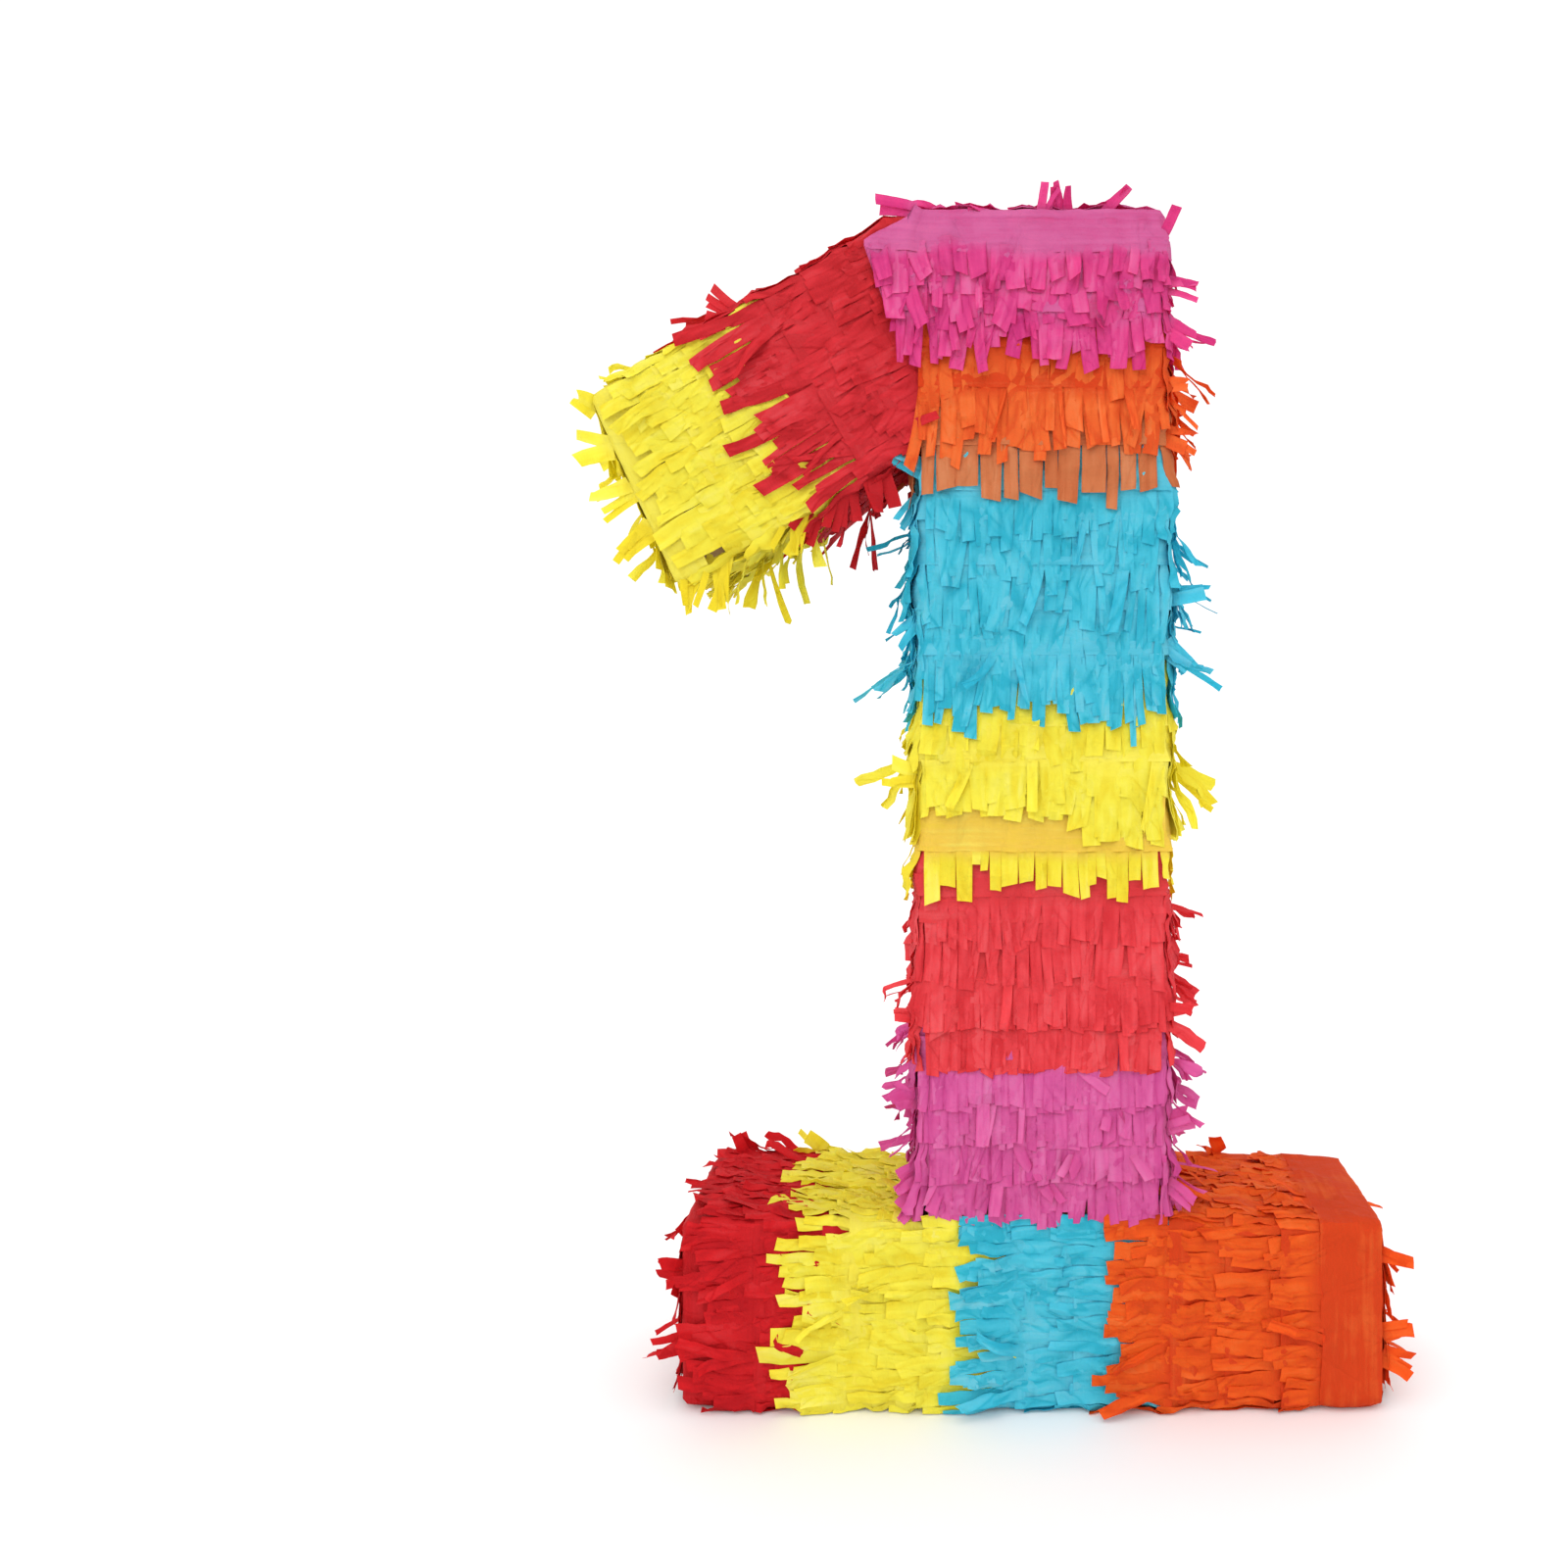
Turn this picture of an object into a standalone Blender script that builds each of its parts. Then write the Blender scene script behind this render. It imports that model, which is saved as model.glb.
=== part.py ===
"""Numeral-one pinata: a hollow cardboard figure 1 wrapped in shingled rows of fringed paper.

Metres, +Z up. The origin is the middle of the base's underside, and the front face looks towards -Y.
"""

import math

import bmesh
import bpy
from mathutils import Matrix, Vector

# The outside of the figure, over the paper
TOP = 0.542
DEPTH = 0.090
BASE_HALF = 0.159
BASE_TOP = 0.086
POST_LEFT = -0.0515
POST_RIGHT = 0.0607
ARM_SLOPE = math.radians(30)
ARM_TOP_X = -0.055
ARM_UNDER_Z = 0.433
ARM_END_HIGH_X = -0.201
ARM_END_LOW_X = -0.161

# Sheet stock, and the gap kept between pieces that touch
BOARD = 0.003
PAPER = 0.0008
TAPE = 0.0004
GAP = 0.0003

# A row of fringe: its height, and how far its tips stand off so that it clears the row it hangs over
ROW = 0.035
FLARE = 0.003
BUILD_UP = GAP + FLARE + PAPER
ROW_SIDE_GAP = 0.0008

# The board under the paper
UNDERSIDE_STACK = PAPER + GAP + BUILD_UP
FACE_Y = DEPTH / 2 - BUILD_UP
BAND_HALF = FACE_Y - BOARD - GAP
TAPE_WIDTH = 0.012

# The filling flap in the back of the post
FLAP_LEFT = -0.0275
FLAP_RIGHT = 0.0365
FLAP_LOW = 0.333
FLAP_HIGH = 0.389
FLAP_GAP = 0.0005
FLAP_PAPER_GAP = 0.0015
HINGE_CLEAR = 0.006

# The two hanging holes, spread either side of the centre of mass
HANG_X = -0.016
HOLE_SPREAD = 0.030
HOLE_RADIUS = 0.0035
HANGER_LENGTH = 0.060
HANGER_WIDTH = 0.050

# Colour blocks: name, paint, rows, place of the tips of the first row, and the pitch between rows.
# A post row is placed by its height, a base row by its X, an arm row by its distance from the arm's end.
POST_BLOCKS = (
    ("post_pink_high", "pink", 3, 0.5025, -0.0154),
    ("post_orange", "orange", 2, 0.4497, -0.0185),
    ("post_tan", "tan", 1, 0.4123, 0.0),
    ("post_blue", "blue", 5, 0.3920, -0.0202),
    ("post_yellow", "yellow", 3, 0.2955, -0.0160),
    ("post_yellow_hem", "yellow", 1, 0.2363, 0.0),
    ("post_red", "red", 4, 0.2100, -0.0188),
    ("post_pink_low", "pink", 4, 0.1370, -0.0163),
)
BASE_BLOCKS = (
    ("base_red", "deep_red", 3, -0.1545, 0.0155),
    ("base_yellow", "yellow", 4, -0.1115, 0.0205),
    ("base_blue", "blue", 3, -0.0330, 0.0220),
    ("base_orange", "orange", 4, 0.0320, 0.0250),
)
ARM_BLOCKS = (
    ("arm_yellow", "yellow", 4, 0.0030, 0.0152),
    ("arm_red", "red", 4, 0.0620, 0.0235),
)

PAINTS = {
    "pink": (0.68, 0.07, 0.33, 1),
    "orange": (0.75, 0.13, 0.02, 1),
    "tan": (0.62, 0.20, 0.06, 1),
    "blue": (0.06, 0.50, 0.65, 1),
    "yellow": (0.88, 0.76, 0.06, 1),
    "red": (0.70, 0.05, 0.06, 1),
    "deep_red": (0.52, 0.015, 0.02, 1),
    "kraft": (0.47, 0.31, 0.18, 1),
    "tape": (0.62, 0.50, 0.33, 1),
}


def clear_scene():
    for item in list(bpy.data.objects):
        bpy.data.objects.remove(item, do_unlink=True)


def new_collection(name):
    collection = bpy.data.collections.new(name)
    bpy.context.scene.collection.children.link(collection)
    return collection


def material(name, paint, roughness=0.85):
    made = bpy.data.materials.new(name)
    made.use_nodes = True
    shader = made.node_tree.nodes["Principled BSDF"]
    shader.inputs["Base Color"].default_value = PAINTS[paint]
    shader.inputs["Roughness"].default_value = roughness
    shader.inputs["Metallic"].default_value = 0.0
    made.diffuse_color = PAINTS[paint]
    return made


def add_object(name, data, collection, paint=None):
    made = bpy.data.objects.new(name, data)
    collection.objects.link(made)
    if paint:
        data.materials.append(material(name + "_finish", paint))
    return made


def cutter_box(name, low, high):
    """A hidden box that other pieces are cut with."""
    shape = bmesh.new()
    bmesh.ops.create_cube(shape, size=1.0)
    size = [b - a for a, b in zip(low, high)]
    middle = [(a + b) / 2 for a, b in zip(low, high)]
    bmesh.ops.scale(shape, vec=size, verts=shape.verts)
    bmesh.ops.translate(shape, vec=middle, verts=shape.verts)
    return finish_cutter(name, shape)


def cutter_pin(name, x, radius, low, high):
    """A hidden upright cylinder that cuts a round hole."""
    shape = bmesh.new()
    place = Matrix.Translation((x, 0, (low + high) / 2))
    bmesh.ops.create_cone(
        shape, cap_ends=True, segments=16, radius1=radius, radius2=radius, depth=high - low, matrix=place
    )
    return finish_cutter(name, shape)


def finish_cutter(name, shape):
    mesh = bpy.data.meshes.new(name)
    shape.to_mesh(mesh)
    shape.free()
    made = add_object(name, mesh, CUTTERS)
    made.hide_render = True
    made.display_type = "WIRE"
    return made


def cut(piece, cutter):
    bite = piece.modifiers.new("cut_" + cutter.name, "BOOLEAN")
    bite.operation = "DIFFERENCE"
    bite.solver = "EXACT"
    bite.object = cutter


def wall(piece, thickness, offset):
    """Gives an open surface its thickness; offset 1 grows it outwards and -1 inwards."""
    grown = piece.modifiers.new("thickness", "SOLIDIFY")
    grown.thickness = thickness
    grown.offset = offset
    grown.use_even_offset = True


def flat_curve(name, points, half_width, closed):
    """A 2D curve through points, filled where it is closed, and half_width deep to either side."""
    curve = bpy.data.curves.new(name, "CURVE")
    curve.dimensions = "2D"
    curve.fill_mode = "BOTH" if closed else "NONE"
    curve.extrude = half_width
    spline = curve.splines.new("POLY")
    spline.points.add(len(points) - 1)
    for point, (x, y) in zip(spline.points, points):
        point.co = (x, y, 0, 1)
    spline.use_cyclic_u = closed
    return curve


def as_mesh(piece):
    """The curve object made a welded mesh, so that it can be cut."""
    bpy.context.view_layer.update()
    graph = bpy.context.evaluated_depsgraph_get()
    mesh = bpy.data.meshes.new_from_object(piece.evaluated_get(graph))
    shape = bmesh.new()
    shape.from_mesh(mesh)
    bmesh.ops.remove_doubles(shape, verts=shape.verts, dist=0.00001)
    shape.to_mesh(mesh)
    shape.free()
    name, place = piece.name, piece.matrix_world.copy()
    bpy.data.objects.remove(piece, do_unlink=True)
    made = bpy.data.objects.new(name, mesh)
    made.matrix_world = place
    PARTS.objects.link(made)
    return made


def paper_outline():
    """The figure's front view over the paper, anticlockwise from the base's lower left corner."""
    rise = math.tan(ARM_SLOPE)
    end_high = (ARM_END_HIGH_X, TOP + (ARM_END_HIGH_X - ARM_TOP_X) * rise)
    end_low = (ARM_END_LOW_X, ARM_UNDER_Z + (ARM_END_LOW_X - POST_LEFT) * rise)
    corners = [
        (-BASE_HALF, 0),
        (BASE_HALF, 0),
        (BASE_HALF, BASE_TOP),
        (POST_RIGHT, BASE_TOP),
        (POST_RIGHT, TOP),
        (ARM_TOP_X, TOP),
        end_high,
        end_low,
        (POST_LEFT, ARM_UNDER_Z),
        (POST_LEFT, BASE_TOP),
        (-BASE_HALF, BASE_TOP),
    ]
    return [Vector(corner) for corner in corners]


def inset(points, depths):
    """The outline moved inwards by its own depth at each edge."""
    lines = []
    for start, end, depth in zip(points, points[1:] + points[:1], depths):
        along = (end - start).normalized()
        lines.append((start + Vector((-along.y, along.x)) * depth, along))
    corners = []
    for (before, run), (after, turn) in zip(lines[-1:] + lines[:-1], lines):
        between = after - before
        step = between.cross(turn) / run.cross(turn)
        corners.append(before + run * step)
    return corners


def upright(y=0.0):
    """Stands a drawing in X and Y up in the XZ plane."""
    return Matrix.Translation((0, y, 0)) @ Matrix.Rotation(math.pi / 2, 4, "X")


def panel(name, outline, y):
    """One of the two board faces, with the whole figure's outline."""
    piece = add_object(name, flat_curve(name, outline, BOARD / 2, True), PARTS, "kraft")
    piece.matrix_world = upright(y)
    return as_mesh(piece)


def band(name, path):
    """A board strip folded along the edges of the faces."""
    piece = add_object(name, flat_curve(name, path, BAND_HALF, False), PARTS, "kraft")
    piece.matrix_world = upright()
    piece = as_mesh(piece)
    wall(piece, BOARD, 1)
    return piece


def seam_tape(name, outline, side):
    """Gummed tape in the inside corner between a face and the bands, as one folded loop."""
    y = side * BAND_HALF
    flange = inset(outline, [TAPE_WIDTH] * len(outline))
    shape = bmesh.new()
    rings = []
    for points, ring_y in ((flange, y), (outline, y), (outline, y - side * TAPE_WIDTH)):
        corners = [shape.verts.new((x, ring_y, z)) for x, z in points]
        rings.append([shape.edges.new(pair) for pair in zip(corners, corners[1:] + corners[:1])])
    for first, second in zip(rings, rings[1:]):
        bmesh.ops.bridge_loops(shape, edges=first + second)
    bmesh.ops.recalc_face_normals(shape, faces=shape.faces)
    if max(shape.faces, key=lambda f: abs(f.normal.y)).normal.y * side < 0:
        bmesh.ops.reverse_faces(shape, faces=shape.faces)
    mesh = bpy.data.meshes.new(name)
    shape.to_mesh(mesh)
    shape.free()
    piece = add_object(name, mesh, PARTS, "tape")
    wall(piece, TAPE, -1)
    return piece


def fringe_row(name, paint, section, length, place, open_side=False):
    """One strip wrapped round a limb, its tips towards its own -Z and flared to clear the next row.

    section is the limb's low and high X and half Y in the row's frame. An open row has no -X side.
    """
    low, high, half = section
    shape = bmesh.new()
    bmesh.ops.create_cube(shape, size=2.0)
    ends = [f for f in shape.faces if abs(f.normal.z) > 0.5 or (open_side and f.normal.x < -0.5)]
    bmesh.ops.delete(shape, geom=ends, context="FACES")
    for corner in shape.verts:
        side_x, side_y, side_z = corner.co
        off = GAP + (FLARE if side_z < 0 else 0.0)
        corner.co.x = high + off if side_x > 0 else low - (0.0 if open_side else off)
        corner.co.y = side_y * (half + off)
        corner.co.z = side_z * length / 2
    mesh = bpy.data.meshes.new(name)
    shape.to_mesh(mesh)
    shape.free()
    piece = add_object(name, mesh, PARTS, paint)
    piece.matrix_world = place
    wall(piece, PAPER, 1)
    return piece


def shingled_pad(name, paint, rows, length, width, place):
    """Strips glued flat on one face as a saw-tooth pad: drawn tips low and headers high, facing its own +X."""
    pitch = length / rows
    profile = [(0, 0)]
    for row in range(rows):
        profile += [(FLARE + PAPER, row * pitch), (PAPER, (row + 1) * pitch)]
    profile += [(0, length)]
    piece = add_object(name, flat_curve(name, profile, width / 2, True), PARTS, paint)
    piece.matrix_world = place @ Matrix.Rotation(math.pi / 2, 4, "X")
    return as_mesh(piece)


def plate(name, paint, low, high):
    """A flat sheet or board between two corners."""
    shape = bmesh.new()
    bmesh.ops.create_cube(shape, size=1.0)
    bmesh.ops.scale(shape, vec=[b - a for a, b in zip(low, high)], verts=shape.verts)
    mesh = bpy.data.meshes.new(name)
    shape.to_mesh(mesh)
    shape.free()
    piece = add_object(name, mesh, PARTS, paint)
    piece.location = [(a + b) / 2 for a, b in zip(low, high)]
    return piece


def bands(outline):
    """The three folded strips between the faces: under the base, up the right side, and round the arm."""
    base_left, base_right, top_right, right_foot, right_head, crown, end_high, end_low, armpit, left_foot, top_left = (
        outline
    )
    butt = Vector((BOARD + GAP, 0))
    arm_run = (end_high - crown).normalized()
    crown_miter = crown + arm_run * (BOARD * math.tan(ARM_SLOPE) + 2 * GAP)
    band("bottom_band", [top_left, base_left, base_right, top_right])
    right = band("right_band", [top_right - butt, right_foot, right_head, crown])
    band("left_band", [crown_miter, end_high, end_low, armpit, left_foot, top_left + butt])
    return right


def post_rows(outline, flap_clearance):
    left, right = outline[9].x, outline[3].x
    armpit = ARM_UNDER_Z - BUILD_UP
    for name, paint, rows, first, pitch in POST_BLOCKS:
        for row in range(rows):
            middle = first + pitch * row + ROW / 2
            beside_arm = middle + ROW / 2 > armpit
            section = (POST_LEFT if beside_arm else left, right, FACE_Y)
            place = Matrix.Translation((0, 0, middle))
            piece = fringe_row(f"{name}_{row + 1}", paint, section, ROW, place, beside_arm)
            if FLAP_LOW - ROW < middle < FLAP_HIGH + ROW:
                cut(piece, flap_clearance)


def base_rows(outline, post_clearance):
    low, high = outline[0].y, outline[2].y
    for name, paint, rows, first, pitch in BASE_BLOCKS:
        for row in range(rows):
            tips = first + pitch * row
            last = name == BASE_BLOCKS[-1][0] and row == rows - 1
            length = outline[1].x - tips if last else ROW
            place = Matrix.Translation((tips + length / 2, 0, 0)) @ Matrix.Rotation(math.pi / 2, 4, "Y")
            piece = fringe_row(f"{name}_{row + 1}", paint, (-high, -low, FACE_Y), length, place)
            if tips + length > POST_LEFT and tips < POST_RIGHT:
                cut(piece, post_clearance)


def arm_rows(outline, post_clearance):
    crown, end_high, end_low = outline[5:8]
    across = Vector((-math.sin(ARM_SLOPE), math.cos(ARM_SLOPE)))
    half = (end_high - end_low).dot(across) / 2
    end = (end_high + end_low) / 2
    turn = Matrix.Rotation(math.pi / 2 - ARM_SLOPE, 4, "Y")
    for name, paint, rows, first, pitch in ARM_BLOCKS:
        for row in range(rows):
            along = first + pitch * row + ROW / 2
            x = end.x + along * math.cos(ARM_SLOPE)
            z = end.y + along * math.sin(ARM_SLOPE)
            place = Matrix.Translation((x, 0, z)) @ turn
            piece = fringe_row(f"{name}_{row + 1}", paint, (-half, half, FACE_Y), ROW, place)
            if end_low.x + (along + ROW) * math.cos(ARM_SLOPE) > POST_LEFT:
                cut(piece, post_clearance)


def face_pads(outline, hanging_pins):
    """The strips on the faces that no wrapped row reaches: the top, the arm's end and the base's two ends."""
    base_left, base_right, top_right = outline[:3]
    right_head, end_high, end_low = outline[4], outline[6], outline[7]
    width = 2 * FACE_Y
    top_length = right_head.x - POST_LEFT
    lay_flat = Matrix.Translation((POST_LEFT, 0, right_head.y + GAP)) @ Matrix.Rotation(math.pi / 2, 4, "Y")
    top = shingled_pad("top_fringe", "pink", 4, top_length, width, lay_flat @ Matrix.Rotation(math.pi, 4, "Z"))
    for pin in hanging_pins:
        cut(top, pin)
    height = top_right.y - base_right.y
    right_face = Matrix.Translation((base_right.x + GAP, 0, base_right.y))
    shingled_pad("base_right_fringe", "orange", 4, height, width, right_face)
    left_face = Matrix.Translation((base_left.x - GAP, 0, base_left.y)) @ Matrix.Rotation(math.pi, 4, "Z")
    shingled_pad("base_left_fringe", "deep_red", 4, height, width, left_face)
    rise = end_high - end_low
    lean = math.atan2(-rise.x, rise.y)
    off = Vector((-math.cos(lean), -math.sin(lean))) * GAP
    end_place = Matrix.Translation((end_low.x + off.x, 0, end_low.y + off.y))
    end_face = end_place @ Matrix.Rotation(-lean, 4, "Y") @ Matrix.Rotation(math.pi, 4, "Z")
    shingled_pad("arm_end_fringe", "yellow", 5, rise.length, width, end_face)


def filling_flap():
    """The board flap cut on three sides, with its own strips; its origin is on the fold."""
    size = (FLAP_RIGHT - FLAP_LEFT, FLAP_HIGH - FLAP_LOW)
    fold = Vector((FLAP_LEFT, FACE_Y, (FLAP_LOW + FLAP_HIGH) / 2))
    hinge = bpy.data.objects.new("flap_hinge", None)
    hinge.location = fold
    PARTS.objects.link(hinge)
    board = plate("fill_flap", "kraft", (0, -BOARD, -size[1] / 2), (size[0], 0, size[1] / 2))
    board.parent = hinge
    start = HINGE_CLEAR
    width = size[0] - start
    facing_back = Matrix.Rotation(math.pi / 2, 4, "Z")
    place = Matrix.Translation(fold + Vector((start + width / 2, GAP, -size[1] / 2)))
    fringe = shingled_pad("flap_fringe", "blue", 3, size[1], width, place @ facing_back)
    fringe.parent = hinge
    fringe.matrix_parent_inverse = Matrix.Translation(fold).inverted()


def build():
    depths = [UNDERSIDE_STACK] + [BUILD_UP] * 10
    outline = inset(paper_outline(), depths)
    inside = inset(outline, [BOARD + GAP] * len(outline))
    top_z = outline[4].y

    post_clearance = cutter_box(
        "post_clearance",
        (POST_LEFT - ROW_SIDE_GAP, -DEPTH, outline[2].y - GAP),
        (POST_RIGHT + ROW_SIDE_GAP, DEPTH, TOP + BUILD_UP),
    )
    flap_hole = cutter_box(
        "flap_hole",
        (FLAP_LEFT - FLAP_GAP, BAND_HALF - BOARD, FLAP_LOW - FLAP_GAP),
        (FLAP_RIGHT + FLAP_GAP, DEPTH, FLAP_HIGH + FLAP_GAP),
    )
    flap_clearance = cutter_box(
        "flap_clearance",
        (FLAP_LEFT - HINGE_CLEAR, FACE_Y - BOARD, FLAP_LOW - FLAP_PAPER_GAP),
        (FLAP_RIGHT + FLAP_PAPER_GAP, DEPTH, FLAP_HIGH + FLAP_PAPER_GAP),
    )
    hanging_pins = [
        cutter_pin(f"hanging_pin_{side}", HANG_X + sign * HOLE_SPREAD / 2, HOLE_RADIUS, top_z - 4 * BOARD, TOP + BOARD)
        for side, sign in (("left", -1), ("right", 1))
    ]

    panel("front_panel", outline, -(FACE_Y - BOARD / 2))
    back = panel("back_panel", outline, FACE_Y - BOARD / 2)
    cut(back, flap_hole)
    right_band = bands(outline)
    seam_tape("front_seam_tape", inside, -1)
    seam_tape("back_seam_tape", inside, 1)

    hanger_top = top_z - BOARD - GAP
    hanger = plate(
        "hanger_plate",
        "kraft",
        (HANG_X - HANGER_LENGTH / 2, -HANGER_WIDTH / 2, hanger_top - BOARD),
        (HANG_X + HANGER_LENGTH / 2, HANGER_WIDTH / 2, hanger_top),
    )
    for pin in hanging_pins:
        cut(right_band, pin)
        cut(hanger, pin)

    plate(
        "underside_paper",
        "deep_red",
        (outline[0].x, -FACE_Y, 0),
        (outline[1].x, FACE_Y, PAPER),
    )
    post_rows(outline, flap_clearance)
    base_rows(outline, post_clearance)
    arm_rows(outline, post_clearance)
    face_pads(outline, hanging_pins)
    filling_flap()


clear_scene()
PARTS = new_collection("numeral_one_pinata")
CUTTERS = new_collection("cutters")
build()
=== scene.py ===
import math

import bpy
import numpy as np
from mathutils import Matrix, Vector


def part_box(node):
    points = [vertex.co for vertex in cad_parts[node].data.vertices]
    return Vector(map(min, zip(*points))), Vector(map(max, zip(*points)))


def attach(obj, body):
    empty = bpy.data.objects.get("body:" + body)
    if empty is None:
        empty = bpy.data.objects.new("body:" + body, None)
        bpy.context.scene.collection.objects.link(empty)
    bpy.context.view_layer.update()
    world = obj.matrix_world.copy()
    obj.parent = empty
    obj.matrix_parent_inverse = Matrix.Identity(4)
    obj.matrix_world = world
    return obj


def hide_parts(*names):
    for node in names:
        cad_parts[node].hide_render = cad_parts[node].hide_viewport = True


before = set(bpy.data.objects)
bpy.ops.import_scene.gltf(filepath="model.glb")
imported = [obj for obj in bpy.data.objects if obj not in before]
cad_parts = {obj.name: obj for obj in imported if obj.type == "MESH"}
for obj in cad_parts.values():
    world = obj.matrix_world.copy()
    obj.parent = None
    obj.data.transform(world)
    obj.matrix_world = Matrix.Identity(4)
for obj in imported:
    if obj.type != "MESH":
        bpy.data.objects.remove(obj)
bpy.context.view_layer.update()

# ---------------------------------------------------------------- sizes read from the frame

MM = 0.001
ARM_SLOPE = math.radians(30)
HEADER = 13 * MM          # the uncut edge of a strip, which is glued down
PLY_LIFT = 0.22 * MM      # how far a strip's second ply lies over its first
SHEET = 0.16 * MM         # paper thickness, a little stout so that it shades well
GLUE_LINE = 3.1 * MM      # from the board to the visible paper, which lies on the layers under it
EDGE_ROUND = 3.2 * MM     # the radius of the paper's bends round the board's edges
UNDERLAP = 14 * MM        # how far a header runs on under the strip above it
LONG_UNDERLAP = 16 * MM   # the same for a strip with a narrow header
SHINGLE = 0.9 * MM        # how much further out a strand's tip lies than its root, over the strip below it
FOLD_OVER = 7 * MM        # how far a strip's plain edge is turned over the end of a limb
FLOOR_CLEAR = 0.4 * MM
LINING_LIFT = 0.5 * MM    # how far the plain paper round the flap lies from the board
FLAP_CLEAR = 5.5 * MM     # how far strands keep from the flap's fold, so that it can open
FURTHEST_Y = 50.5 * MM    # strands seldom stand out further than this to the front or the back
FURTHEST_X = 172 * MM     # nor further than this to the right
PRESSED_HEADER = 6 * MM   # the uncut edge of strips that lie so close that it doesn't show
SOFT_ROOM = 6 * MM        # how far past the furthest places a strand may still go, ever more slowly
FLOOR_SOFT = 1.6 * MM     # the height under which strands are slowed down before they reach the floor
FLAP_GAP = 1.5 * MM       # how far strips keep from the flap's other three edges
NO_LIMIT = 9.0            # a height past every piece, where a strip isn't cut off or folded

UP = np.array((0.0, 0.0, 1.0))
RIGHT = np.array((1.0, 0.0, 0.0))
BACK = np.array((0.0, 1.0, 0.0))
ARM_OUT = np.array((-math.cos(ARM_SLOPE), 0.0, -math.sin(ARM_SLOPE)))
ARM_RISE = np.array((-math.sin(ARM_SLOPE), 0.0, math.cos(ARM_SLOPE)))


def corners_of(node):
    """A node's corners, as rows of X, Y and Z."""
    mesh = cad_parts[node].data
    flat = np.empty(len(mesh.vertices) * 3)
    mesh.vertices.foreach_get("co", flat)
    return flat.reshape(-1, 3)


def span(node, direction):
    """How far a node reaches along a direction: its least and its most."""
    along = corners_of(node) @ direction
    return along.min(), along.max()


FRONT_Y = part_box("front_panel")[0].y
PAPER_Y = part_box("post_red_2")[0].y
BUILD_UP = FRONT_Y - PAPER_Y
BACK_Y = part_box("back_panel")[1].y
POST_LEFT, POST_RIGHT = span("post_red_2", RIGHT)
POST_BOARD_LEFT = POST_LEFT + BUILD_UP
POST_BOARD_RIGHT = POST_RIGHT - BUILD_UP
BOARD_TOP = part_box("front_panel")[1].z
BASE_LEFT, BASE_RIGHT = span("bottom_band", RIGHT)
BASE_LOW, BASE_HIGH = span("bottom_band", UP)
FLAP_LOW, FLAP_HIGH = span("fill_flap", UP)
FLAP_LEFT, FLAP_RIGHT = span("fill_flap", RIGHT)
CROWN_X = span("right_band", RIGHT)[0]
board_corners = corners_of("front_panel")
ARMPIT = board_corners[np.abs(board_corners[:, 0] - POST_BOARD_LEFT) < MM, 2].max()


# ---------------------------------------------------------------- the paper strips' paths

class Path:
    """A line round a limb: places on the board, with the outward and the onward direction at each."""

    def __init__(self, places, outward, onward, side):
        self.places = places
        self.outward = outward
        self.onward = onward
        self.side = side
        steps = np.linalg.norm(np.diff(places, axis=0), axis=1)
        self.distance = np.concatenate(([0.0], np.cumsum(steps)))

    def part(self, keep):
        return Path(self.places[keep], self.outward[keep], self.onward[keep], self.side[keep])

    def at(self, distance):
        """Place, outward and onward direction and side at distances along the path."""
        def blend(rows):
            return np.stack([np.interp(distance, self.distance, rows[:, i]) for i in range(3)], axis=-1)

        nearest = np.clip(np.searchsorted(self.distance, distance), 0, len(self.side) - 1)
        outward = unit(blend(self.outward))
        onward = unit(blend(self.onward))
        return blend(self.places), outward, onward, self.side[nearest]


def unit(rows):
    return rows / np.maximum(np.linalg.norm(rows, axis=-1, keepdims=True), 1e-12)


FRONT_SIDE, HIGH_SIDE, BACK_SIDE, LOW_SIDE = range(4)


def wrap(limb, corners, sides):
    """The paper's path round a section's board corners, in the limb's own axes, with its bends rounded."""
    step = 1.5 * MM
    corners = [np.array(corner) for corner in corners]
    along = [unit(there - here) for here, there in zip(corners, corners[1:])]
    out = [np.array((way[1], -way[0])) for way in along]
    last = len(corners) - 1
    on_paper = [corners[0] + out[0] * GLUE_LINE]
    on_paper += [corners[index] + (out[index - 1] + out[index]) * GLUE_LINE for index in range(1, last)]
    on_paper.append(corners[last] + out[-1] * GLUE_LINE)
    points, normals, tags = [], [], []
    for index in range(last):
        start = on_paper[index] + along[index] * (EDGE_ROUND if index > 0 else 0.0)
        end = on_paper[index + 1] - along[index] * (EDGE_ROUND if index < last - 1 else 0.0)
        pieces = max(2, int(np.linalg.norm(end - start) / step))
        for share in np.linspace(0, 1, pieces):
            points.append(start + (end - start) * share)
            normals.append(out[index])
            tags.append(sides[index])
        if index < last - 1:
            centre = end - out[index] * EDGE_ROUND
            for share in (0.15, 0.3, 0.45, 0.6, 0.75, 0.9):
                turn = share * math.pi / 2
                bend = out[index] * math.cos(turn) + out[index + 1] * math.sin(turn)
                points.append(centre + bend * EDGE_ROUND)
                normals.append(bend)
                tags.append(sides[index] if share < 0.5 else sides[index + 1])
    points, normals = np.array(points), np.array(normals)
    across, depth = limb["across"], limb["depth"]
    places = points[:, :1] * across + points[:, 1:] * depth + limb["origin"]
    outward = normals[:, :1] * across + normals[:, 1:] * depth
    onward = -normals[:, 1:] * across + normals[:, :1] * depth
    return Path(places, outward, onward, np.array(tags))


def runs(keep):
    """The unbroken runs of True, as index arrays."""
    edges = np.flatnonzero(np.diff(np.concatenate(([0], keep.astype(int), [0]))))
    return [np.arange(a, b) for a, b in zip(edges[::2], edges[1::2]) if b - a > 2]


# ---------------------------------------------------------------- modelling

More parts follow.
